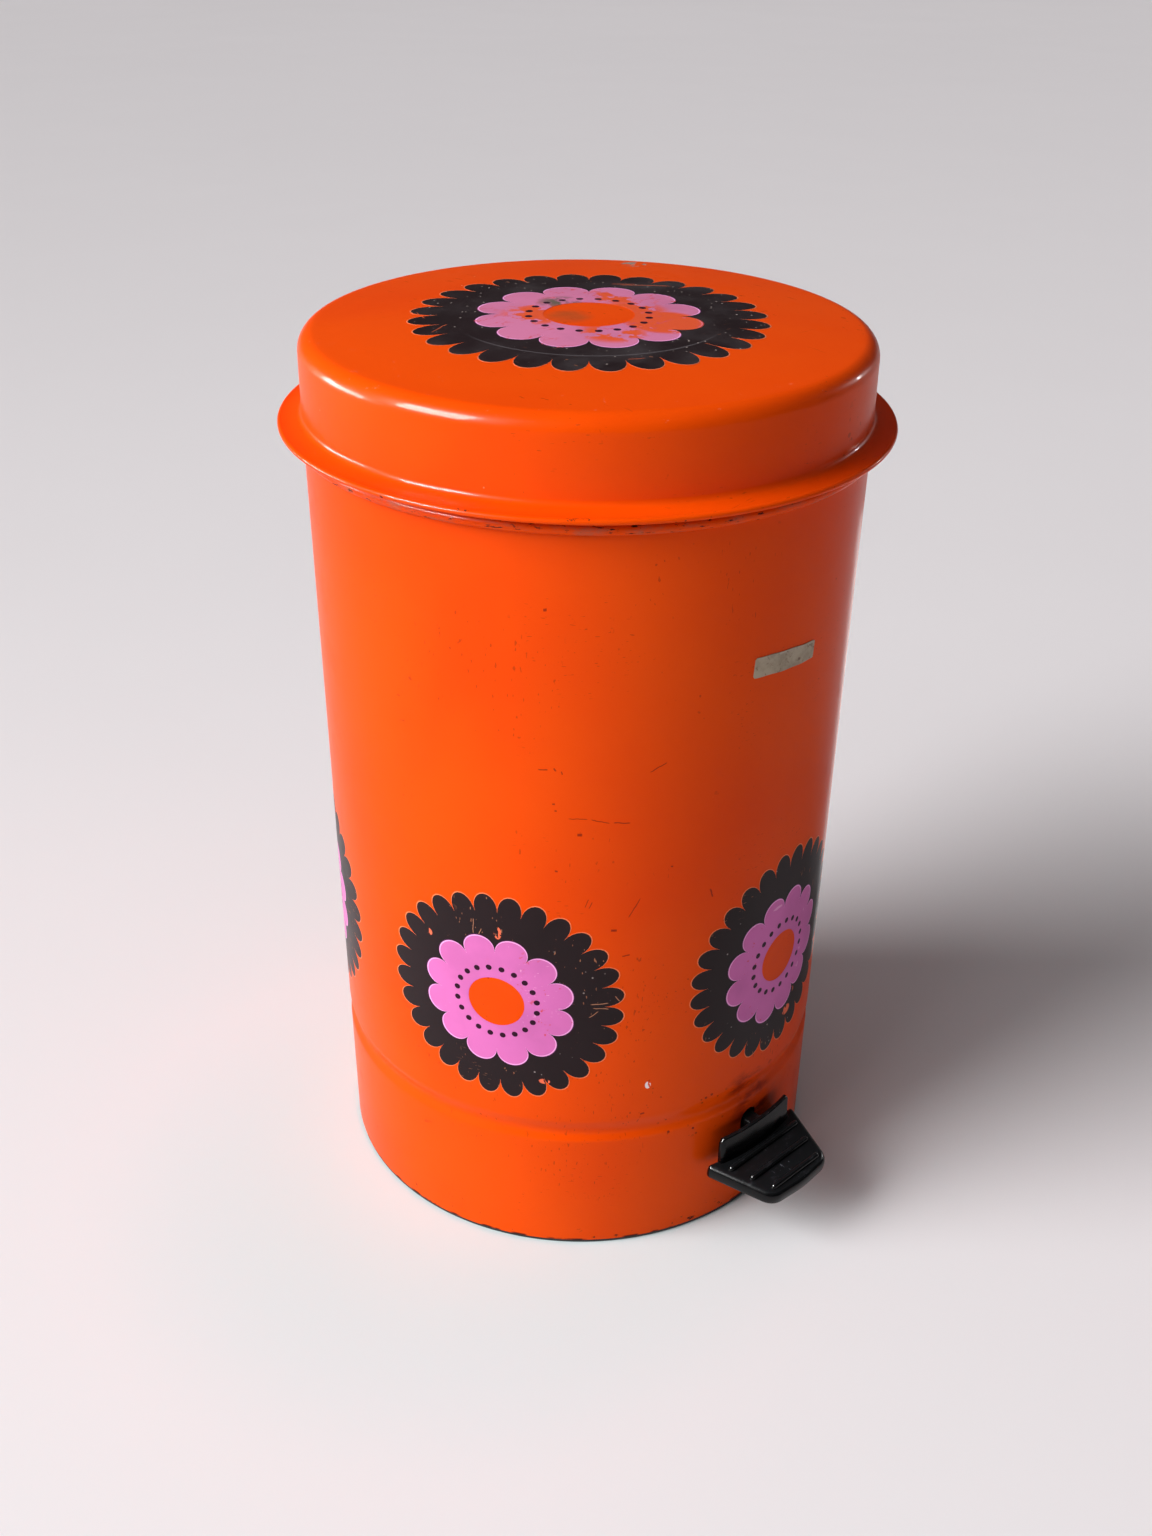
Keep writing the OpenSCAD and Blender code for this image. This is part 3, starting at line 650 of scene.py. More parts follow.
def label_foil():
    """Blank foil label, dulled and rubbed, with grime in its scratches."""
    paint = Finish("blank_foil", srgb(176, 160, 136), 0.45, Metallic=0.1)
    paint.layer(paint.cloud(0.42, 0.66, 90, 5, 0.7), srgb(152, 136, 114), 0.55)
    paint.layer(paint.cloud(0.56, 0.68, 240, 4, 0.7, shift=2.0), srgb(112, 88, 70), 0.7, -1.0)
    paint.layer(paint.cloud(0.58, 0.66, 55, 3, shift=6.0), srgb(196, 184, 164), 0.4)
    return paint.done(0.02)


def base_finish():
    """Enamel of the base plate, dusty and stained underneath."""
    paint = enamel("base_enamel")
    paint.layer(paint.cloud(0.42, 0.7, 24, 5, 0.7), srgb(150, 74, 44), 0.6)
    paint.layer(paint.cloud(0.58, 0.66, 130, 5, 0.7, shift=3.0), RUST, 0.8, -1.0)
    return paint.done(0.03)


# ---------------------------------------------------------------- body

def body_outline():
    """Closed section of the body's sheet: outer wall, rolled rim, inner wall."""
    heights = list(np.linspace(FOOT_Z, GROOVE_Z - GROOVE_DOWN, 20, endpoint=False))
    heights += list(np.linspace(GROOVE_Z - GROOVE_DOWN, GROOVE_Z + GROOVE_UP, 21))
    heights += [100 * MM, 150 * MM, 200 * MM, 280 * MM, 340 * MM]
    wall = [(body_r(z) - groove(z), z) for z in heights]
    outer_end = math.degrees(math.acos((TOP_R - RIM[0]) / BEAD_R))
    inner_end = math.degrees(math.acos((TOP_R - SHEET - RIM[0]) / BEAD_R))
    rim = arc(RIM, BEAD_R, -outer_end, 360 - inner_end, 28)
    inside = [(r - SHEET, z) for r, z in reversed(wall)]
    return wall + rim + inside


def slot_cutter():
    """A bar with round ends that cuts the lever's slot through the skirt."""
    bm = bmesh.new()
    side = arc((0, SLOT_Z[1] - SLOT_HALF), SLOT_HALF, 0, 180, 16)
    side += arc((0, SLOT_Z[0] + SLOT_HALF), SLOT_HALF, 180, 360, 16)
    ends = (-FOOT_R - 10 * MM, -FOOT_R + 10 * MM)
    add_grid(bm, [[(x, y, z) for x, z in side] for y in ends], loop_columns=True)
    bmesh.ops.holes_fill(bm, edges=bm.edges)
    return finish_mesh("slot_cutter", bm, None)


def make_body(material):
    bm = bmesh.new()
    lathe(bm, body_outline(), 320)
    body = finish_mesh("body_shell", bm, material)
    cutter = slot_cutter()
    cut = body.modifiers.new("slot", "BOOLEAN")
    cut.operation = "DIFFERENCE"
    cut.solver = "EXACT"
    cut.object = cutter
    put(baked(body, "body_shell", 35), "can", ["outer_body"])
    bpy.data.objects.remove(cutter)

    seam = bmesh.new()
    lap = [(-3.4, -0.2), (-3.2, 0.12), (-2.6, 0.3), (2.2, 0.3), (2.9, 0.16), (3.2, -0.2)]
    rows = []
    for z in np.linspace(GROOVE_Z + GROOVE_UP + 4 * MM, RIM[1] - 4 * MM, 12):
        rows.append([])
        for across, lift in lap:
            r = body_r(z) + lift * MM
            rows[-1].append(point_at(SEAM_AZ + across * MM / r, r, z))
    add_grid(seam, rows, loop_columns=True)
    bmesh.ops.holes_fill(seam, edges=seam.edges)
    put(finish_mesh("side_seam", seam, material), "can")


def make_floor_ring(material):
    """The black edging under the body's lower edge, with rounded corners."""
    leg = body_r(8 * MM) - SHEET - 0.15 * MM
    outer = FOOT_R - 0.3 * MM
    top = FOOT_Z - 0.05 * MM
    soft = 0.45 * MM
    inner = leg - 2.2 * MM
    outline = [(inner, 8 * MM), (inner, soft)] + arc((inner + soft, soft), soft, 180, 270, 4)
    outline += arc((outer - 0.7 * MM, 0.7 * MM), 0.7 * MM, 270, 360, 6)
    outline += arc((outer - 0.5 * MM, top - 0.5 * MM), 0.5 * MM, 0, 90, 5)
    outline += [(leg - 0.15 * MM, top), (leg - 0.15 * MM, 8 * MM)]
    bm = bmesh.new()
    lathe(bm, outline)
    put(finish_mesh("foot_edging", bm, material), "can", ["floor_ring"])


def make_label(material):
    """Curved blank label, tilted a little, with worn corners."""
    low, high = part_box("maker_label")
    half_turn = math.radians(8.75)
    middle = math.radians(-1.4)
    mid_z = (low.z + high.z) / 2
    half_h = 4.7 * MM
    tilt = math.radians(4)
    corner_r = 0.9 * MM
    half_w = half_turn * body_r(mid_z)
    columns = np.linspace(-1, 1, 49)
    rows = np.linspace(-1, 1, 13)
    bm = bmesh.new()
    layers = []
    for lift in (0.13 * MM, 0.36 * MM):
        grid = []
        for v in rows:
            line = []
            for u in columns:
                x, y = u * half_w, v * half_h * (1 - 0.12 * u)
                near = max(0.0, abs(x) - (half_w - corner_r))
                trim = corner_r - math.sqrt(max(0.0, corner_r**2 - near**2))
                ragged = 0.12 * MM * math.sin(9 * u + 3) * (abs(v) > 0.99)
                y = math.copysign(min(abs(y), half_h - trim), v) - ragged
                across = x * math.cos(tilt) + y * math.sin(tilt)
                z = mid_z - x * math.sin(tilt) + y * math.cos(tilt)
                r = body_r(z) + lift
                line.append(point_at(middle + across / r, r, z))
            grid.append(line)
        layers.append(add_grid(bm, grid))
    low_edge, high_edge = (
        g[0] + [row[-1] for row in g[1:]] + g[-1][-2::-1] + [row[0] for row in g[-2:0:-1]] for g in layers
    )
    for i, (a, b) in enumerate(zip(low_edge, high_edge)):
        bm.faces.new((low_edge[i - 1], a, b, high_edge[i - 1]))
    bmesh.ops.recalc_face_normals(bm, faces=bm.faces)
    put(finish_mesh("blank_label", bm, material), "can", ["maker_label"])


# ---------------------------------------------------------------- lid

def lid_line():
    """Outer face of the lid's sheet, from the crown to the flange's edge."""
    dome = [(r, dome_z(r)) for r in np.linspace(0, SHOULDER[0] * 0.99, 14)]
    shoulder = arc(SHOULDER, SHOULDER_R, 86, 0, 14)
    wall = [(LID_R, FLANGE_Z + 12 * MM)]
    down = 270 - math.degrees(FLANGE_SLOPE)
    fillet = arc((LID_R + FILLET_R, FLANGE_Z), FILLET_R, 180, down, 10)
    end_r = FLANGE_R - LIP_R
    last = fillet[-1]
    end = (end_r, last[1] - (end_r - last[0]) * math.tan(FLANGE_SLOPE))
    return dome + shoulder + wall + fillet + [end]


def lid_outline():
    """Closed section of the lid, with the rolled lip."""
    line = lid_line()
    inner = beside(line, SHEET)
    lip = (line[-1][0], line[-1][1] - LIP_DROP)
    facing = 90 - math.degrees(FLANGE_SLOPE)
    above = LIP_DROP * math.cos(FLANGE_SLOPE)
    first = facing + math.degrees(math.acos(above / LIP_R))
    last = facing + math.degrees(math.acos((above - SHEET) / LIP_R)) - 360
    return line[:-1] + arc(lip, LIP_R, first, last, 22) + inner[-2::-1]


def make_lid(material):
    bm = bmesh.new()
    lathe(bm, lid_outline(), 320)
    put(finish_mesh("lid_shell", bm, material), "lid_assembly", ["lid"])


# ---------------------------------------------------------------- trees of geometry nodes

def new_tree(name, inputs):
    """A geometry tree with named inputs, as (graph, its inputs, their socket identifiers)."""
    tree = bpy.data.node_groups.new(name, "GeometryNodeTree")
    ids = {}
    for label, kind in inputs.items():
        made = tree.interface.new_socket(label, in_out="INPUT", socket_type="NodeSocket" + kind)
        ids[label] = made.identifier
    tree.interface.new_socket("Geometry", in_out="OUTPUT", socket_type="NodeSocketGeometry")
    g = Graph(tree)
    outputs = g.node("NodeGroupInput").outputs
    return g, {label: Term(g, outputs[label]) for label in inputs}, ids


def close_tree(g, geometry, material):
    """Ends a tree: real geometry, smooth, with its material."""
    real = g.out("GeometryNodeRealizeInstances", geometry)
    smooth = g.out("GeometryNodeSetShadeSmooth", real)
    g.node("NodeGroupOutput", g.out("GeometryNodeSetMaterial", smooth, None, material))


def join(g, parts):
    joined = g.node("GeometryNodeJoinGeometry")
    for part in parts:
        g.feed(joined.inputs[0], part)
    return Term(g, joined.outputs[0])


def move_points(g, geometry, place):
    return g.out("GeometryNodeSetPosition", geometry, None, place)


def here(g):
    """The place of each point."""
    return g.out("GeometryNodeInputPosition")


def slab(g, flat, thickness):
    """A flat sheet of faces made into a closed plate."""
    up = g.out("GeometryNodeExtrudeMesh", flat, None, g.vector(0, 0, thickness), 1.0, False)
    under = g.out("GeometryNodeFlipFaces", flat)
    return g.out("GeometryNodeMergeByDistance", join(g, (under, up)), None, WELD)


def grow(name, tree_and_ids, values):
    """Runs a tree with these input values and returns the plain mesh as a new object."""
    tree, ids = tree_and_ids
    seed = add_object(name + "_seed", bpy.data.meshes.new(name + "_seed"))
    modifier = seed.modifiers.new("grow", "NODES")
    modifier.node_group = tree
    for label, value in values.items():
        modifier[ids[label]] = value
    return baked(seed, name)


# ---------------------------------------------------------------- rosettes

def wrap_on_body(g, position):
    """Lays flat points on the body's cone, at azimuth 0 and the rosettes' height."""
    x, y, lift = g.split(position)
    z = y + ROSETTE_Z
    radius = z * CONE + FOOT_R + lift
    azimuth = x / body_r(ROSETTE_Z)
    return g.vector(radius * g.math("SINE", azimuth), radius * g.math("COSINE", azimuth) * -1.0, z)


def wrap_on_lid(g, position):
    """Lays flat points on the lid's dome, about its middle."""
    x, y, lift = g.split(position)
    fall = (x * x + y * y) * (-DOME_RISE / SHOULDER[0] ** 2)
    return g.vector(x, y, fall + CROWN_Z + lift)


LAYER_INPUTS = {
    "Petals": "Int", "Petal Steps": "Int", "Rings": "Int", "Half Width": "Float", "Half Height": "Float",
    "Petal Depth": "Float", "Hole": "Float", "Shift Across": "Float", "Shift Up": "Float",
    "Lift": "Float", "Thickness": "Float", "Copies": "Int", "First Turn": "Float",
    "Turn Step": "Float", "Material": "Material",
}
DOT_INPUTS = {**LAYER_INPUTS, "Dots": "Int", "Dot Radius": "Float"}


def lay_round_axis(g, plate, wrap, inp):
    """Wraps a flat plate on its surface, repeats it about the can's axis and ends the tree."""
    laid = move_points(g, plate, wrap(g, here(g)))
    points = g.out("GeometryNodePoints", inp["Copies"])
    turn = g.out("GeometryNodeInputIndex") * inp["Turn Step"] + inp["First Turn"]
    placed = g.out("GeometryNodeInstanceOnPoints", points, named={
        "Instance": laid, "Rotation": g.vector(0, 0, turn)
    })
    close_tree(g, placed, inp["Material"])


def store_rim(g, geometry, value):
    """Marks each point with its distance from the print's edge."""
    return g.out(
        "GeometryNodeStoreNamedAttribute", geometry, None, "rim", value, data_type="FLOAT", domain="POINT"
    )


def petal_tree(name, wrap):
    """Tree of one scalloped layer: a ring of round petals about an oval hole."""
    g, inp, ids = new_tree(name, LAYER_INPUTS)
    columns = inp["Petals"] * inp["Petal Steps"] + 1.0
    grid = g.out("GeometryNodeMeshGrid", 1.0, 1.0, columns, inp["Rings"] + 1.0)
    u, v, _ = g.split(here(g))
    along = (u + 0.5) * inp["Petals"]
    petal = g.math("FLOOR", along + 1e-5)
    within = (along - petal) * math.pi - math.pi / 2
    in_petal = g.math("SINE", within) * 0.5 + 0.5
    turn = (petal + in_petal) / inp["Petals"] * (2 * math.pi)
    edge = 1.0 - (1.0 - g.math("COSINE", within)) * inp["Petal Depth"]
    reach = (v + 0.5) * (edge - inp["Hole"]) + inp["Hole"]
    x = reach * g.math("SINE", turn) * inp["Half Width"]
    y = reach * g.math("COSINE", turn) * inp["Half Height"]
    marked = store_rim(g, grid, (edge - reach) * inp["Half Width"])
    flat = move_points(g, marked, g.vector(x + inp["Shift Across"], y + inp["Shift Up"], inp["Lift"]))
    flat = g.out("GeometryNodeMergeByDistance", flat, None, WELD)
    plate = slab(g, g.out("GeometryNodeFlipFaces", flat), inp["Thickness"])
    lay_round_axis(g, plate, wrap, inp)
    return g.tree, ids


def dot_tree(name, wrap):
    """Tree of the ring of small round dots."""
    g, inp, ids = new_tree(name, DOT_INPUTS)
    points = g.out("GeometryNodePoints", inp["Dots"])
    turn = (g.out("GeometryNodeInputIndex") + 0.5) / inp["Dots"] * (2 * math.pi)
    x = g.math("SINE", turn) * inp["Half Width"] + inp["Shift Across"]
    y = g.math("COSINE", turn) * inp["Half Height"] + inp["Shift Up"]
    placed = move_points(g, points, g.vector(x, y, inp["Lift"]))
    disc = g.out("GeometryNodeMeshCircle", 16, inp["Dot Radius"], fill_type="TRIANGLE_FAN")
    plate = slab(g, disc, inp["Thickness"])
    ring = g.out("GeometryNodeInstanceOnPoints", placed, named={"Instance": plate})
    lay_round_axis(g, store_rim(g, g.out("GeometryNodeRealizeInstances", ring), 1.0), wrap, inp)
    return g.tree, ids


FILM = 0.05 * MM                                # thickness of a printed layer


def sized(half, shift, level):
    """Inputs for a layer's half sizes and shift, in mm, and its level, in films."""
    return {
        "Half Width": half[0] * MM, "Half Height": half[1] * MM, "Shift Across": shift[0] * MM,
        "Shift Up": shift[1] * MM, "Lift": 0.02 * MM + level * FILM,
    }


def make_rosettes(inks):
    """Five rosettes round the body and a larger one on the lid, each of three printed layers."""
    body = {"Copies": 5, "First Turn": ROSETTE_AZ[0], "Turn Step": ROSETTE_AZ[1] - ROSETTE_AZ[0]}
    lid = {"Copies": 1, "First Turn": LID_PRINT_TURN, "Turn Step": 0.0}
    # Half width and half height of the dark layer, the pink layer and the ring of dots, in mm; then
    # the hole's half width, how far the two upper layers are off centre, and the dots' radius.
    sets = (
        ("body", "can", wrap_on_body, body,
         (58.75, 57.5), (37.85, 37), (19.75, 19), 13.7, (-1.5, -2.0), 1.45),
        ("lid", "lid_assembly", wrap_on_lid, lid,
         (79.5, 79.5), (51, 51), (26.5, 26.5), 20.0, (0, 0), 1.7),
    )
    for where, rides, wrap, spread, dark, pink, dots, hole, shift, dot_r in sets:
        petals = petal_tree("petals_on_" + where, wrap)
        layers = (
            ("dark", dark, 28, 12, 12, 0.165, 0.35, (0, 0), 0.0),
            ("pink", pink, 12, 20, 8, 0.235, hole / pink[0], shift, 0.9),
        )
        for layer, half, count, steps, rings, depth, hollow, moved, level in layers:
            piece = grow(f"rosette_{layer}_{where}", petals, {
                **spread, **sized(half, moved, level), "Petals": count, "Petal Steps": steps,
                "Rings": rings, "Petal Depth": depth, "Hole": hollow, "Thickness": FILM,
                "Material": inks[f"{where}_{layer}"],
            })
            put(piece, rides)
        piece = grow(f"rosette_dots_{where}", dot_tree("dots_on_" + where, wrap), {
            **spread, **sized(dots, shift, 1.8), "Dots": 20, "Dot Radius": dot_r * MM,
            "Thickness": 0.6 * FILM, "Material": inks["dots"],
        })
        put(piece, rides)


# ---------------------------------------------------------------- pedal

PAD_BACK_R = 126.5 * MM
PAD_BACK_HALF = 33.5 * MM
PAD_FRONT_HALF = 21 * MM
PAD_FRONT = 160 * MM
PAD_TOP_Z = 42 * MM
PAD_TILT = math.radians(7.8)
PAD_DEPTH = 6.5 * MM
CORNER_STEPS = 8


def rounded(points, radii, steps=CORNER_STEPS):
    """A closed outline with each corner rounded to its radius."""
    made = []
    n = len(points)
    for i, radius in enumerate(radii):
        p = np.array(points[i])
        a = np.array(points[i - 1]) - p
        b = np.array(points[(i + 1) % n]) - p
        a, b = a / np.linalg.norm(a), b / np.linalg.norm(b)
        half = math.acos(np.clip(a @ b, -1, 1)) / 2
        centre = p + (a + b) / np.linalg.norm(a + b) * radius / math.sin(half)
        start = p + a * radius / math.tan(half) - centre
        end = p + b * radius / math.tan(half) - centre
        a0 = math.atan2(start[1], start[0])
        turn = (math.atan2(end[1], end[0]) - a0 + math.pi) % (2 * math.pi) - math.pi
        made += [tuple(centre + radius * np.array([math.cos(t), math.sin(t)]))
                 for t in np.linspace(a0, a0 + turn, steps + 1)]
    return made


def pad_outline(inset):
    """Outline of the pad seen from above, moved inwards: x across, y towards the can."""
    front = -(PAD_FRONT - PAD_BACK_R) + inset
    back_half = PAD_BACK_HALF - 1.15 * inset
    front_half = PAD_FRONT_HALF - 0.8 * inset
    ease = 1.6 * MM
    sag = PAD_BACK_R - math.sqrt(PAD_BACK_R**2 - PAD_BACK_HALF**2)
    back_round, side_round = max(0.3 * MM, 2.6 * MM - inset), max(MM, 9 * MM - inset)
    radii = [back_round, side_round, 60 * MM, side_round, back_round]
    corners = [(-back_half, sag - inset), (-front_half, front + ease), (0, front),
               (front_half, front + ease), (back_half, sag - inset)]
    back = [(x, PAD_BACK_R - math.sqrt(PAD_BACK_R**2 - x * x) - inset)
            for x in np.linspace(back_half * 0.86, -back_half * 0.86, 17)]
    # The ends of the back curve only steer the corners beside them; the curve itself follows.
    every = rounded(corners + [back[0], back[-1]], radii + [0.1 * MM, 0.1 * MM])
    return every[:-2 * (CORNER_STEPS + 1)] + back


def tilted(x, y, z):
    """A point of the pad's own tilted frame, in the can's frame."""
    c, s = math.cos(PAD_TILT), math.sin(PAD_TILT)
    return (x, -PAD_BACK_R + y * c - z * s, PAD_TOP_Z + y * s + z * c)


def add_loft(bm, rings):
    """Faces between closed rings of points, with flat ends."""
    verts = add_grid(bm, rings, loop_columns=True)
    bm.faces.new(list(reversed(verts[0])))
    bm.faces.new(verts[-1])


def add_pad_plate(bm):
    """The pad: a shallow tray turned over, with a rounded top edge and a stepped skirt."""
    soft = 3 * MM
    inside = ((2.6, -2.6), (2.5, -5.9), (2.2, -6.4), (1.9, -6.5))
    section = [(inset * MM, z * MM) for inset, z in inside]
    section += [(0.5 * MM, -PAD_DEPTH), (0.12 * MM, -PAD_DEPTH + 0.3 * MM), (0, -PAD_DEPTH + 0.8 * MM)]
    section += [(0, -3.6 * MM)]
    section += [(0.1 * MM + soft * (1 - math.cos(a)), -soft * (1 - math.sin(a)))
                for a in np.radians([0, 18, 36, 54, 72, 90])]
    section += [(4.2 * MM, 0)]
    add_loft(bm, [[tilted(x, y, z) for x, y in pad_outline(inset)] for inset, z in section])


RIB_INPUTS = {
    "Radius": "Float", "Height": "Float", "Half Length": "Float", "Shorter By": "Float",
    "First": "Float", "Spacing": "Float", "Material": "Material",
}
RIBS = 3


def transform(g, geometry, **named):
    return g.out("GeometryNodeTransform", named={"Geometry": geometry, **named})


def rib_tree():
    """Tree of the pad's anti-slip ribs: round-ended bars, each shorter than the one behind it."""
    g, inp, ids = new_tree("pad_ribs", RIB_INPUTS)
    ball = g.out("GeometryNodeMeshUVSphere", 20, 12, inp["Radius"])
    bars = []
    for k in range(RIBS):
        half = inp["Shorter By"] * -float(k) + inp["Half Length"]
        y = inp["Spacing"] * -float(k) + inp["First"] * -1.0
        ends = [transform(g, ball, Translation=g.vector(half * side, y, 0)) for side in (-1.0, 1.0)]
        bars.append(g.out("GeometryNodeConvexHull", join(g, ends)))
    flat = transform(g, join(g, bars), Scale=g.vector(1, 1, inp["Height"] / inp["Radius"]))
    on_pad = transform(g, flat, Translation=tilted(0, 0, 0), Rotation=(PAD_TILT, 0, 0))
    close_tree(g, on_pad, inp["Material"])
    return g.tree, ids


def add_upstand(bm):
    """The curved guard at the pad's back edge, thinner towards its top."""
    half_turn = math.radians(11.4)
    foot, top = PAD_TOP_Z - 3 * MM, PAD_TOP_Z + 14 * MM
    thick = 2.8 * MM
    rings = []
    for a in np.linspace(-1, 1, 33):
        soft = 1.3 * MM * (1 - math.sqrt(max(0.0, 1 - max(0.0, (abs(a) - 0.95) / 0.05) ** 2)))
        peak = top - soft * 1.6
        inner, outer = PAD_BACK_R + 0.3 * soft, PAD_BACK_R + thick - 0.3 * soft
        mid = (inner + outer) / 2
        section = [(inner, foot), (inner, peak - 0.9 * MM), (inner + 0.35 * MM, peak - 0.25 * MM),
                   (mid, peak), (outer - 0.65 * MM, peak - 0.25 * MM), (outer - 0.25 * MM, peak - 0.9 * MM),
                   (outer, foot + 5 * MM), (outer + 0.9 * MM, foot + 2.4 * MM), (outer + 0.9 * MM, foot)]
        rings.append([point_at(a * half_turn, r, z) for r, z in section])
    add_loft(bm, rings)


def add_lug(bm):
    """The lug that holds the lever, behind the guard."""
    corners = [(-129, 38.1), (-129, 54.7), (-105, 54.7), (-105, 44.6), (-108, 41.6)]
    side = rounded(corners, [0.6, 2.2, 2.2, 0.8, 0.8], 4)
    middle = np.mean(side, axis=0)
    rings = []
    for x, inset in ((-4, 0.5), (-3.6, 0.12), (-3.2, 0), (3.2, 0), (3.6, 0.12), (4, 0.5)):
        ring = [middle + (np.array(p) - middle) * (1 - inset / 9) for p in side]
        rings.append([(x * MM, y * MM, z * MM) for y, z in ring])
    add_loft(bm, rings)


def make_pedal(material):
    bm = bmesh.new()
    add_pad_plate(bm)
    add_upstand(bm)
    add_lug(bm)
    bmesh.ops.recalc_face_normals(bm, faces=bm.faces)
    put(finish_mesh("pedal", bm, material, 50), "pedal_assembly", ["pedal_pad"])
    ribs = grow("pedal_ribs", rib_tree(), {
        "Radius": 1.7 * MM, "Height": 2.1 * MM, "Half Length": 24 * MM, "Shorter By": 4.1 * MM,
        "First": 6.2 * MM, "Spacing": 10.4 * MM, "Material": material,
    })
    put(ribs, "pedal_assembly")


# ---------------------------------------------------------------- bucket

def make_bucket(material, wire):
    """Galvanised bucket with a rounded foot, three swaged beads and a rolled rim."""
    low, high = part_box("inner_bucket")
    bead = 2 * MM
    rim = (high.x - bead, high.z - bead)
    top_r = rim[0] + 1.2 * MM - bead
    foot_r = 84 * MM
    foot_round = 6 * MM
    slope = (top_r - foot_r) / (rim[1] - low.z)
    outer = [(0, low.z + 1.5 * MM), (foot_r - 16 * MM, low.z + 1.5 * MM), (foot_r - 13 * MM, low.z)]
    outer += arc((foot_r - foot_round, low.z + foot_round), foot_round, -90, 0, 10)
    beads = [low.z + 70 * MM, low.z + 150 * MM, low.z + 230 * MM]
    reach = 5 * MM
    for centre in beads:
        for d in np.linspace(-reach, reach, 9):
            z = centre + d
            bulge = 0.9 * MM * (1 + math.cos(math.pi * d / reach)) / 2
            outer.append((foot_r + slope * (z - low.z) - bulge, z))
    inner = beside(outer, -SHEET)[::-1]
    end_out = math.degrees(math.acos((top_r - rim[0]) / bead))
    end_in = math.degrees(math.acos(max(-1, (top_r - SHEET - rim[0]) / bead)))
    outline = outer + arc(rim, bead, -end_out, 360 - end_in, 20) + inner
    bm = bmesh.new()
    lathe(bm, outline, 192)
    put(finish_mesh("bucket", bm, material), "bucket_assembly", ["inner_bucket"])

    low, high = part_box("bucket_bail")
    radius = (high.z - low.z) / 2
    level = (high.z + low.z) / 2
    ring_r = 99 * MM
    end = high.x - 0.02 * MM
    turns = np.linspace(0.035, math.pi - 0.035, 81)
    path = [(end, 0)] + [(ring_r * math.cos(a), -ring_r * math.sin(a)) for a in turns] + [(-end, 0)]
    rings = []
    for (x, y), (ahead_x, ahead_y) in zip(path, headings(path)):
        rings.append([(x - across * ahead_y, y + across * ahead_x, level + up)
                      for across, up, _ in circle(radius, 0, 14)])
    bm = bmesh.new()
    add_loft(bm, rings)
    put(finish_mesh("bail", bm, wire), "bail", ["bucket_bail"])


# ---------------------------------------------------------------- fittings kept from the frame

def deburr(node, material, width):
    """A copy of a node with its edges broken, as tumbled or filed metal has them."""
    source = frame["nodes"][node]
    bm = bmesh.new()
    bm.from_mesh(source.data)
    bmesh.ops.remove_doubles(bm, verts=bm.verts, dist=2e-6)
    bmesh.ops.dissolve_limit(bm, angle_limit=math.radians(0.6), verts=bm.verts, edges=bm.edges)
    mesh = bpy.data.meshes.new(node + "_dressed")
    bm.to_mesh(mesh)
    bm.free()
    mesh.materials.clear()
    mesh.materials.append(material)
    draft = add_object(node + "_draft", mesh)
    bevel = draft.modifiers.new("edges", "BEVEL")
    bevel.width = width
    bevel.segments = 2
    bevel.limit_method = "ANGLE"
    bevel.angle_limit = math.radians(42)
    put(baked(draft, node + "_dressed"), BODY_OF[node], [node])


def make_fittings(finishes):
    widths = {"zinc_fixings": 0.15 * MM, "zinc_plate": 0.3 * MM}
    shown = {"outer_body", "floor_ring", "maker_label", "lid", "pedal_pad", "inner_bucket", "bucket_bail"}
    for node in sorted(set(frame["nodes"]) - shown):
        slot = SLOT_OF[node]
        deburr(node, finishes[slot], widths.get(slot, 0.2 * MM))


# ---------------------------------------------------------------- camera, light and floor

SHINY = bpy.data.collections.new("shiny_pieces")
YAW = math.radians(-44.5)
LOOK_DOWN = 0.515
ROLL = -0.013
CAMERA_AWAY = 0.8671
LENS = 40.59                                    # focal length in mm
TARGET_ACROSS = -3.08 * MM                      # the point looked at, beside the axis
TARGET_Z = 203.07 * MM
GLOW_AWAY = 0.56                                # middle of a floor glow, from the axis
GLOW_LENGTH = 0.75
FLOOR_R = 14.0
WALL_R = 13.5
WALL_TOP = 14.0


def make_camera():
    """Looks at the can from the pedal's left, a little from above."""
    right = Vector((math.cos(YAW), math.sin(YAW), 0))
    ahead = Vector((-math.sin(YAW), math.cos(YAW), 0))
    up = Vector((0, 0, 1))
    back = -ahead * math.cos(LOOK_DOWN) + up * math.sin(LOOK_DOWN)
    top = ahead * math.sin(LOOK_DOWN) + up * math.cos(LOOK_DOWN)
    turned_x = right * math.cos(ROLL) - top * math.sin(ROLL)
    turned_y = right * math.sin(ROLL) + top * math.cos(ROLL)
    target = right * TARGET_ACROSS + up * TARGET_Z
    data = bpy.data.cameras.new("camera")
    data.lens = LENS
    data.sensor_width = 36
    data.clip_start = 0.01
    camera = add_object("camera", data)
    facing = Matrix((turned_x, turned_y, back)).transposed().to_4x4()
    camera.matrix_world = Matrix.Translation(target + back * CAMERA_AWAY) @ facing
    bpy.context.scene.camera = camera


def direction(azimuth, elevation):
    """Unit vector to a place seen from the can, azimuth in degrees from the camera's side."""
    a = math.radians(azimuth) + YAW
    e = math.radians(elevation)
    return Vector((math.sin(a) * math.cos(e), -math.cos(a) * math.cos(e), math.sin(e)))


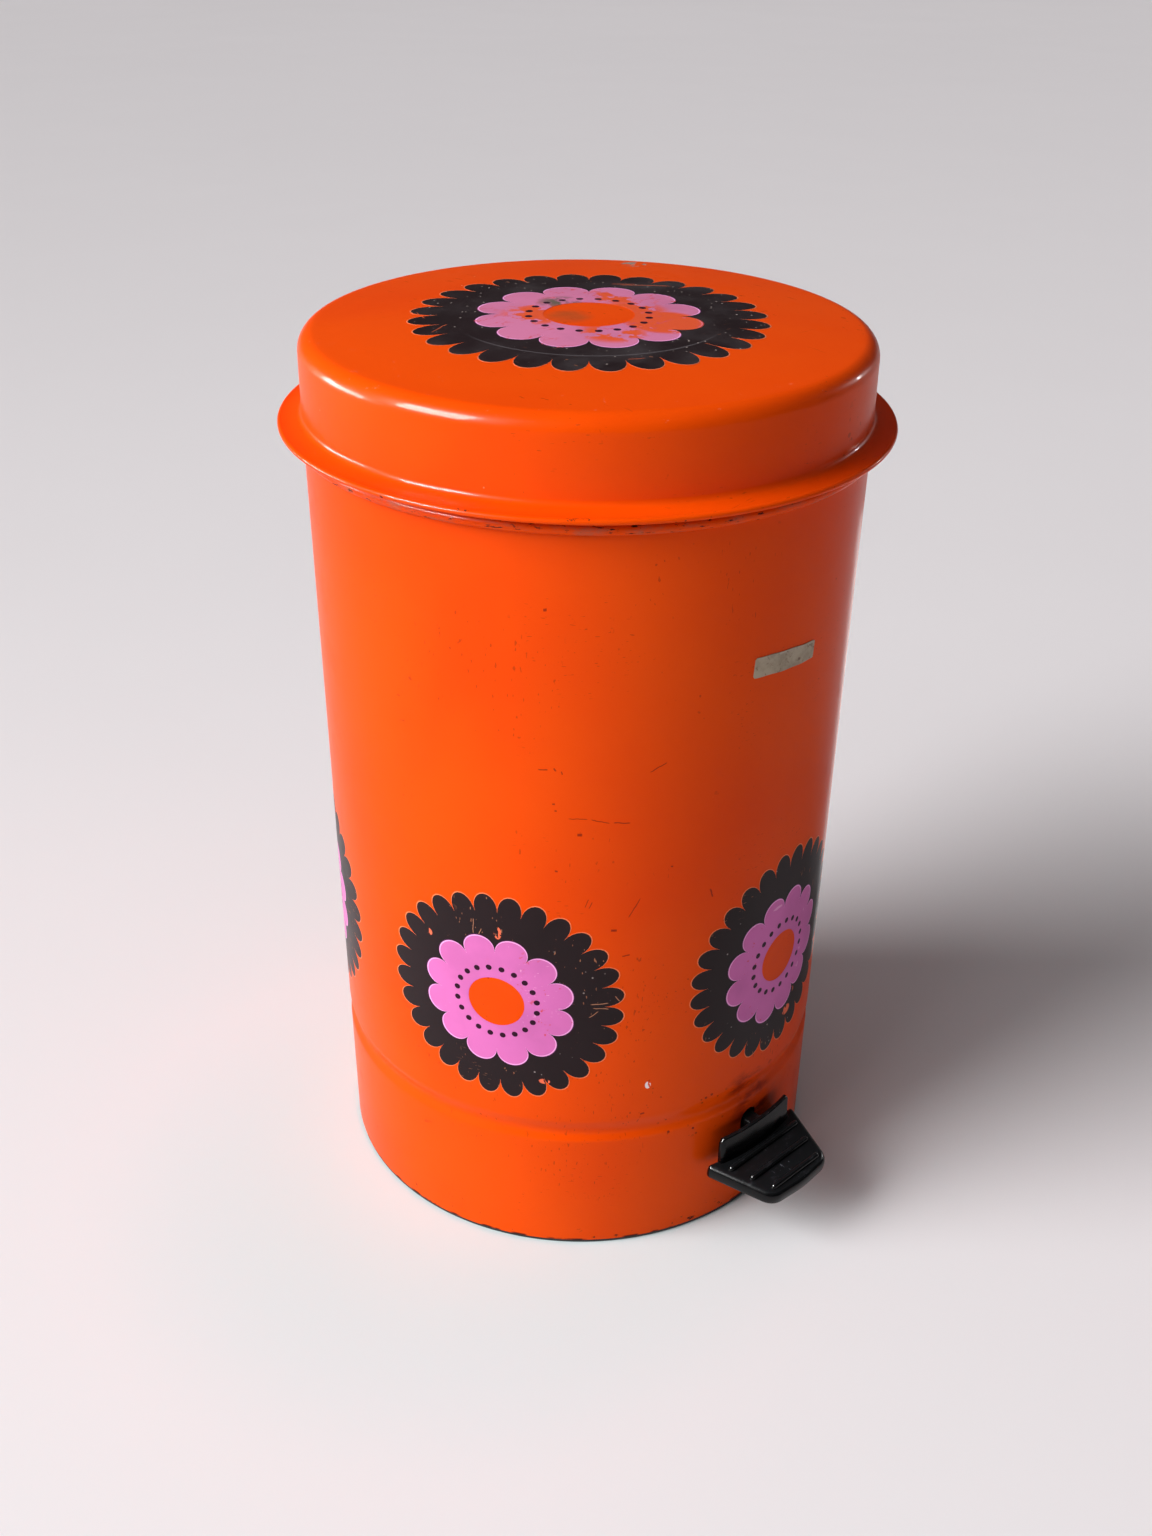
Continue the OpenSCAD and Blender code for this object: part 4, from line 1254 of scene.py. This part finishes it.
def add_panel(name, azimuth, elevation, distance, width, height, power, gloss_on=None):
    """A soft panel light that faces the can's middle; gloss_on limits it to highlights on those pieces."""
    data = bpy.data.lights.new(name, "AREA")
    data.shape = "RECTANGLE"
    data.size = width
    data.size_y = height
    data.energy = power
    light = add_object(name, data)
    if gloss_on:
        light.visible_diffuse = False
        light.light_linking.receiver_collection = gloss_on
    way = direction(azimuth, elevation)
    place = Vector((0, 0, 0.2)) + way * distance
    light.matrix_world = Matrix.Translation(place) @ way.to_track_quat("Z", "Y").to_matrix().to_4x4()
    light.visible_camera = False
    return light


def add_floor_glow(name, azimuth, width, power):
    """A faint strip lying on the floor and pointing away from the can, seen only in its gloss."""
    glow = add_panel(name, azimuth, 0, GLOW_AWAY, width, GLOW_LENGTH, power, gloss_on=SHINY)
    place = direction(azimuth, 0) * GLOW_AWAY + Vector((0, 0, 4 * MM))
    turned = Matrix.Rotation(math.radians(azimuth) + YAW, 4, "Z") @ Matrix.Rotation(math.pi, 4, "X")
    glow.matrix_world = Matrix.Translation(place) @ turned


def add_soft_sun(name, azimuth, elevation, strength, spread):
    """Even light from one side over the whole floor; spread is the width of its source in degrees."""
    data = bpy.data.lights.new(name, "SUN")
    data.energy = strength
    data.angle = math.radians(spread)
    light = add_object(name, data)
    light.visible_glossy = False
    light.matrix_world = direction(azimuth, elevation).to_track_quat("Z", "Y").to_matrix().to_4x4()


def make_light():
    add_soft_sun("wide_key", -69, 31, 4.0, 38)
    add_soft_sun("ceiling_light", -60, 80, 0.44, 90)
    add_panel("key_panel", -52, 38, 1.9, 1.3, 1.1, 11)
    add_panel("key_gloss", -61, 31, 1.9, 0.95, 0.75, 270, gloss_on=SHINY)
    add_panel("side_gloss", -104, 8, 2.2, 1.0, 0.45, 95, gloss_on=SHINY)
    add_panel("back_gloss", 124, 12, 2.4, 0.14, 0.2, 9, gloss_on=SHINY)
    for width in (0.07, 0.13, 0.2):
        add_floor_glow(f"right_glow_{width * 1000:.0f}", 150, width, 0.35)
    world = bpy.data.worlds.new("room")
    world.use_nodes = True
    sky = world.node_tree.nodes["Background"]
    sky.inputs["Color"].default_value = srgb(222, 220, 224)
    sky.inputs["Strength"].default_value = 0.07
    bpy.context.scene.world = world
    bpy.context.scene.view_settings.view_transform = "Standard"


def make_floor():
    """A wide plain floor, faintly mottled, with painted light: cooler tints near the can take out the
    orange light it throws on the floor.
    """
    bm = bmesh.new()
    add_grid(bm, [circle(r, 0) for r in (0.0, 0.5, 2.0, 6.0, FLOOR_R)], loop_columns=True)
    paint = Finish("floor_paper", srgb(236, 231, 233), 0.42, Specular_IOR_Level=0.35)
    paint.layer(paint.cloud(0.3, 0.7, 1.5, 3), srgb(233, 228, 230), 0.48)
    # Painted light: cooler patches near the can, on its lit side, cancel the orange light that bounces off
    # the can onto the floor.
    lit_side = direction(-38, 0) * 270
    paint.layer(paint.patch(lit_side.x, lit_side.y, 500), srgb(232, 231, 233))
    close_by = direction(-40, 0) * 100
    paint.layer(paint.patch(close_by.x, close_by.y, 200), srgb(213, 229, 231))
    paint.layer(paint.noise(400, 3), height=1.0)
    floor = finish_mesh("floor", bm, paint.done(0.01))
    if floor.data.polygons[0].normal.z < 0:
        floor.data.flip_normals()


def make_backdrop():
    """A pale wall far behind, which only the camera sees."""
    bm = bmesh.new()
    add_grid(bm, [circle(WALL_R, z, full=-2 * math.pi) for z in (0.0, WALL_TOP)], loop_columns=True)
    glow = {"Emission_Color": srgb(204, 200, 202), "Emission_Strength": 1.0}
    paint = Finish("backdrop_paper", srgb(0, 0, 0), 1.0, Specular_IOR_Level=0.0, **glow)
    wall = finish_mesh("backdrop", bm, paint.done())
    wall.visible_diffuse = False
    wall.visible_glossy = False
    wall.visible_shadow = False


# ---------------------------------------------------------------- all of it

make_camera()
make_light()
make_floor()
make_backdrop()

make_body(body_enamel())
make_lid(lid_enamel())
make_floor_ring(edging_plastic())
make_label(label_foil())
make_rosettes({
    "body_dark": print_ink("dark_print_body", DARK_INK, ORANGE_PALE, wear_body_dark),
    "body_pink": print_ink("pink_print_body", PINK_INK, PURPLE, wear_body_pink, PINK_LINE),
    "lid_dark": print_ink("dark_print_lid", DARK_INK, ORANGE_PALE, wear_lid_dark),
    "lid_pink": print_ink("pink_print_lid", LID_PINK, PURPLE, wear_lid_pink, PINK_LINE),
    "dots": print_ink("dot_print", DOT_INK, DOT_INK, wear_dots),
})
make_pedal(pedal_plastic())
plate_zinc = zinc("zinc_plate", srgb(170, 172, 174), 0.38, 0.5)
wire_zinc = zinc("zinc_wire", srgb(180, 181, 182), 0.34, 0.3)
make_bucket(galvanised(), wire_zinc)
make_fittings({
    "base_enamel": base_finish(),
    "zinc_plate": plate_zinc,
    "zinc_fixings": zinc("zinc_fixings", srgb(176, 178, 180), 0.33, 0.4),
    "zinc_wire": wire_zinc,
    "black_moulding": moulding(),
    "rubber_buffers": rubber(),
})

shell = ("body_shell", "side_seam", "lid_shell", "pedal", "pedal_ribs")
for piece in bpy.data.objects:
    if piece.name in shell or piece.name.startswith("rosette_"):
        SHINY.objects.link(piece)
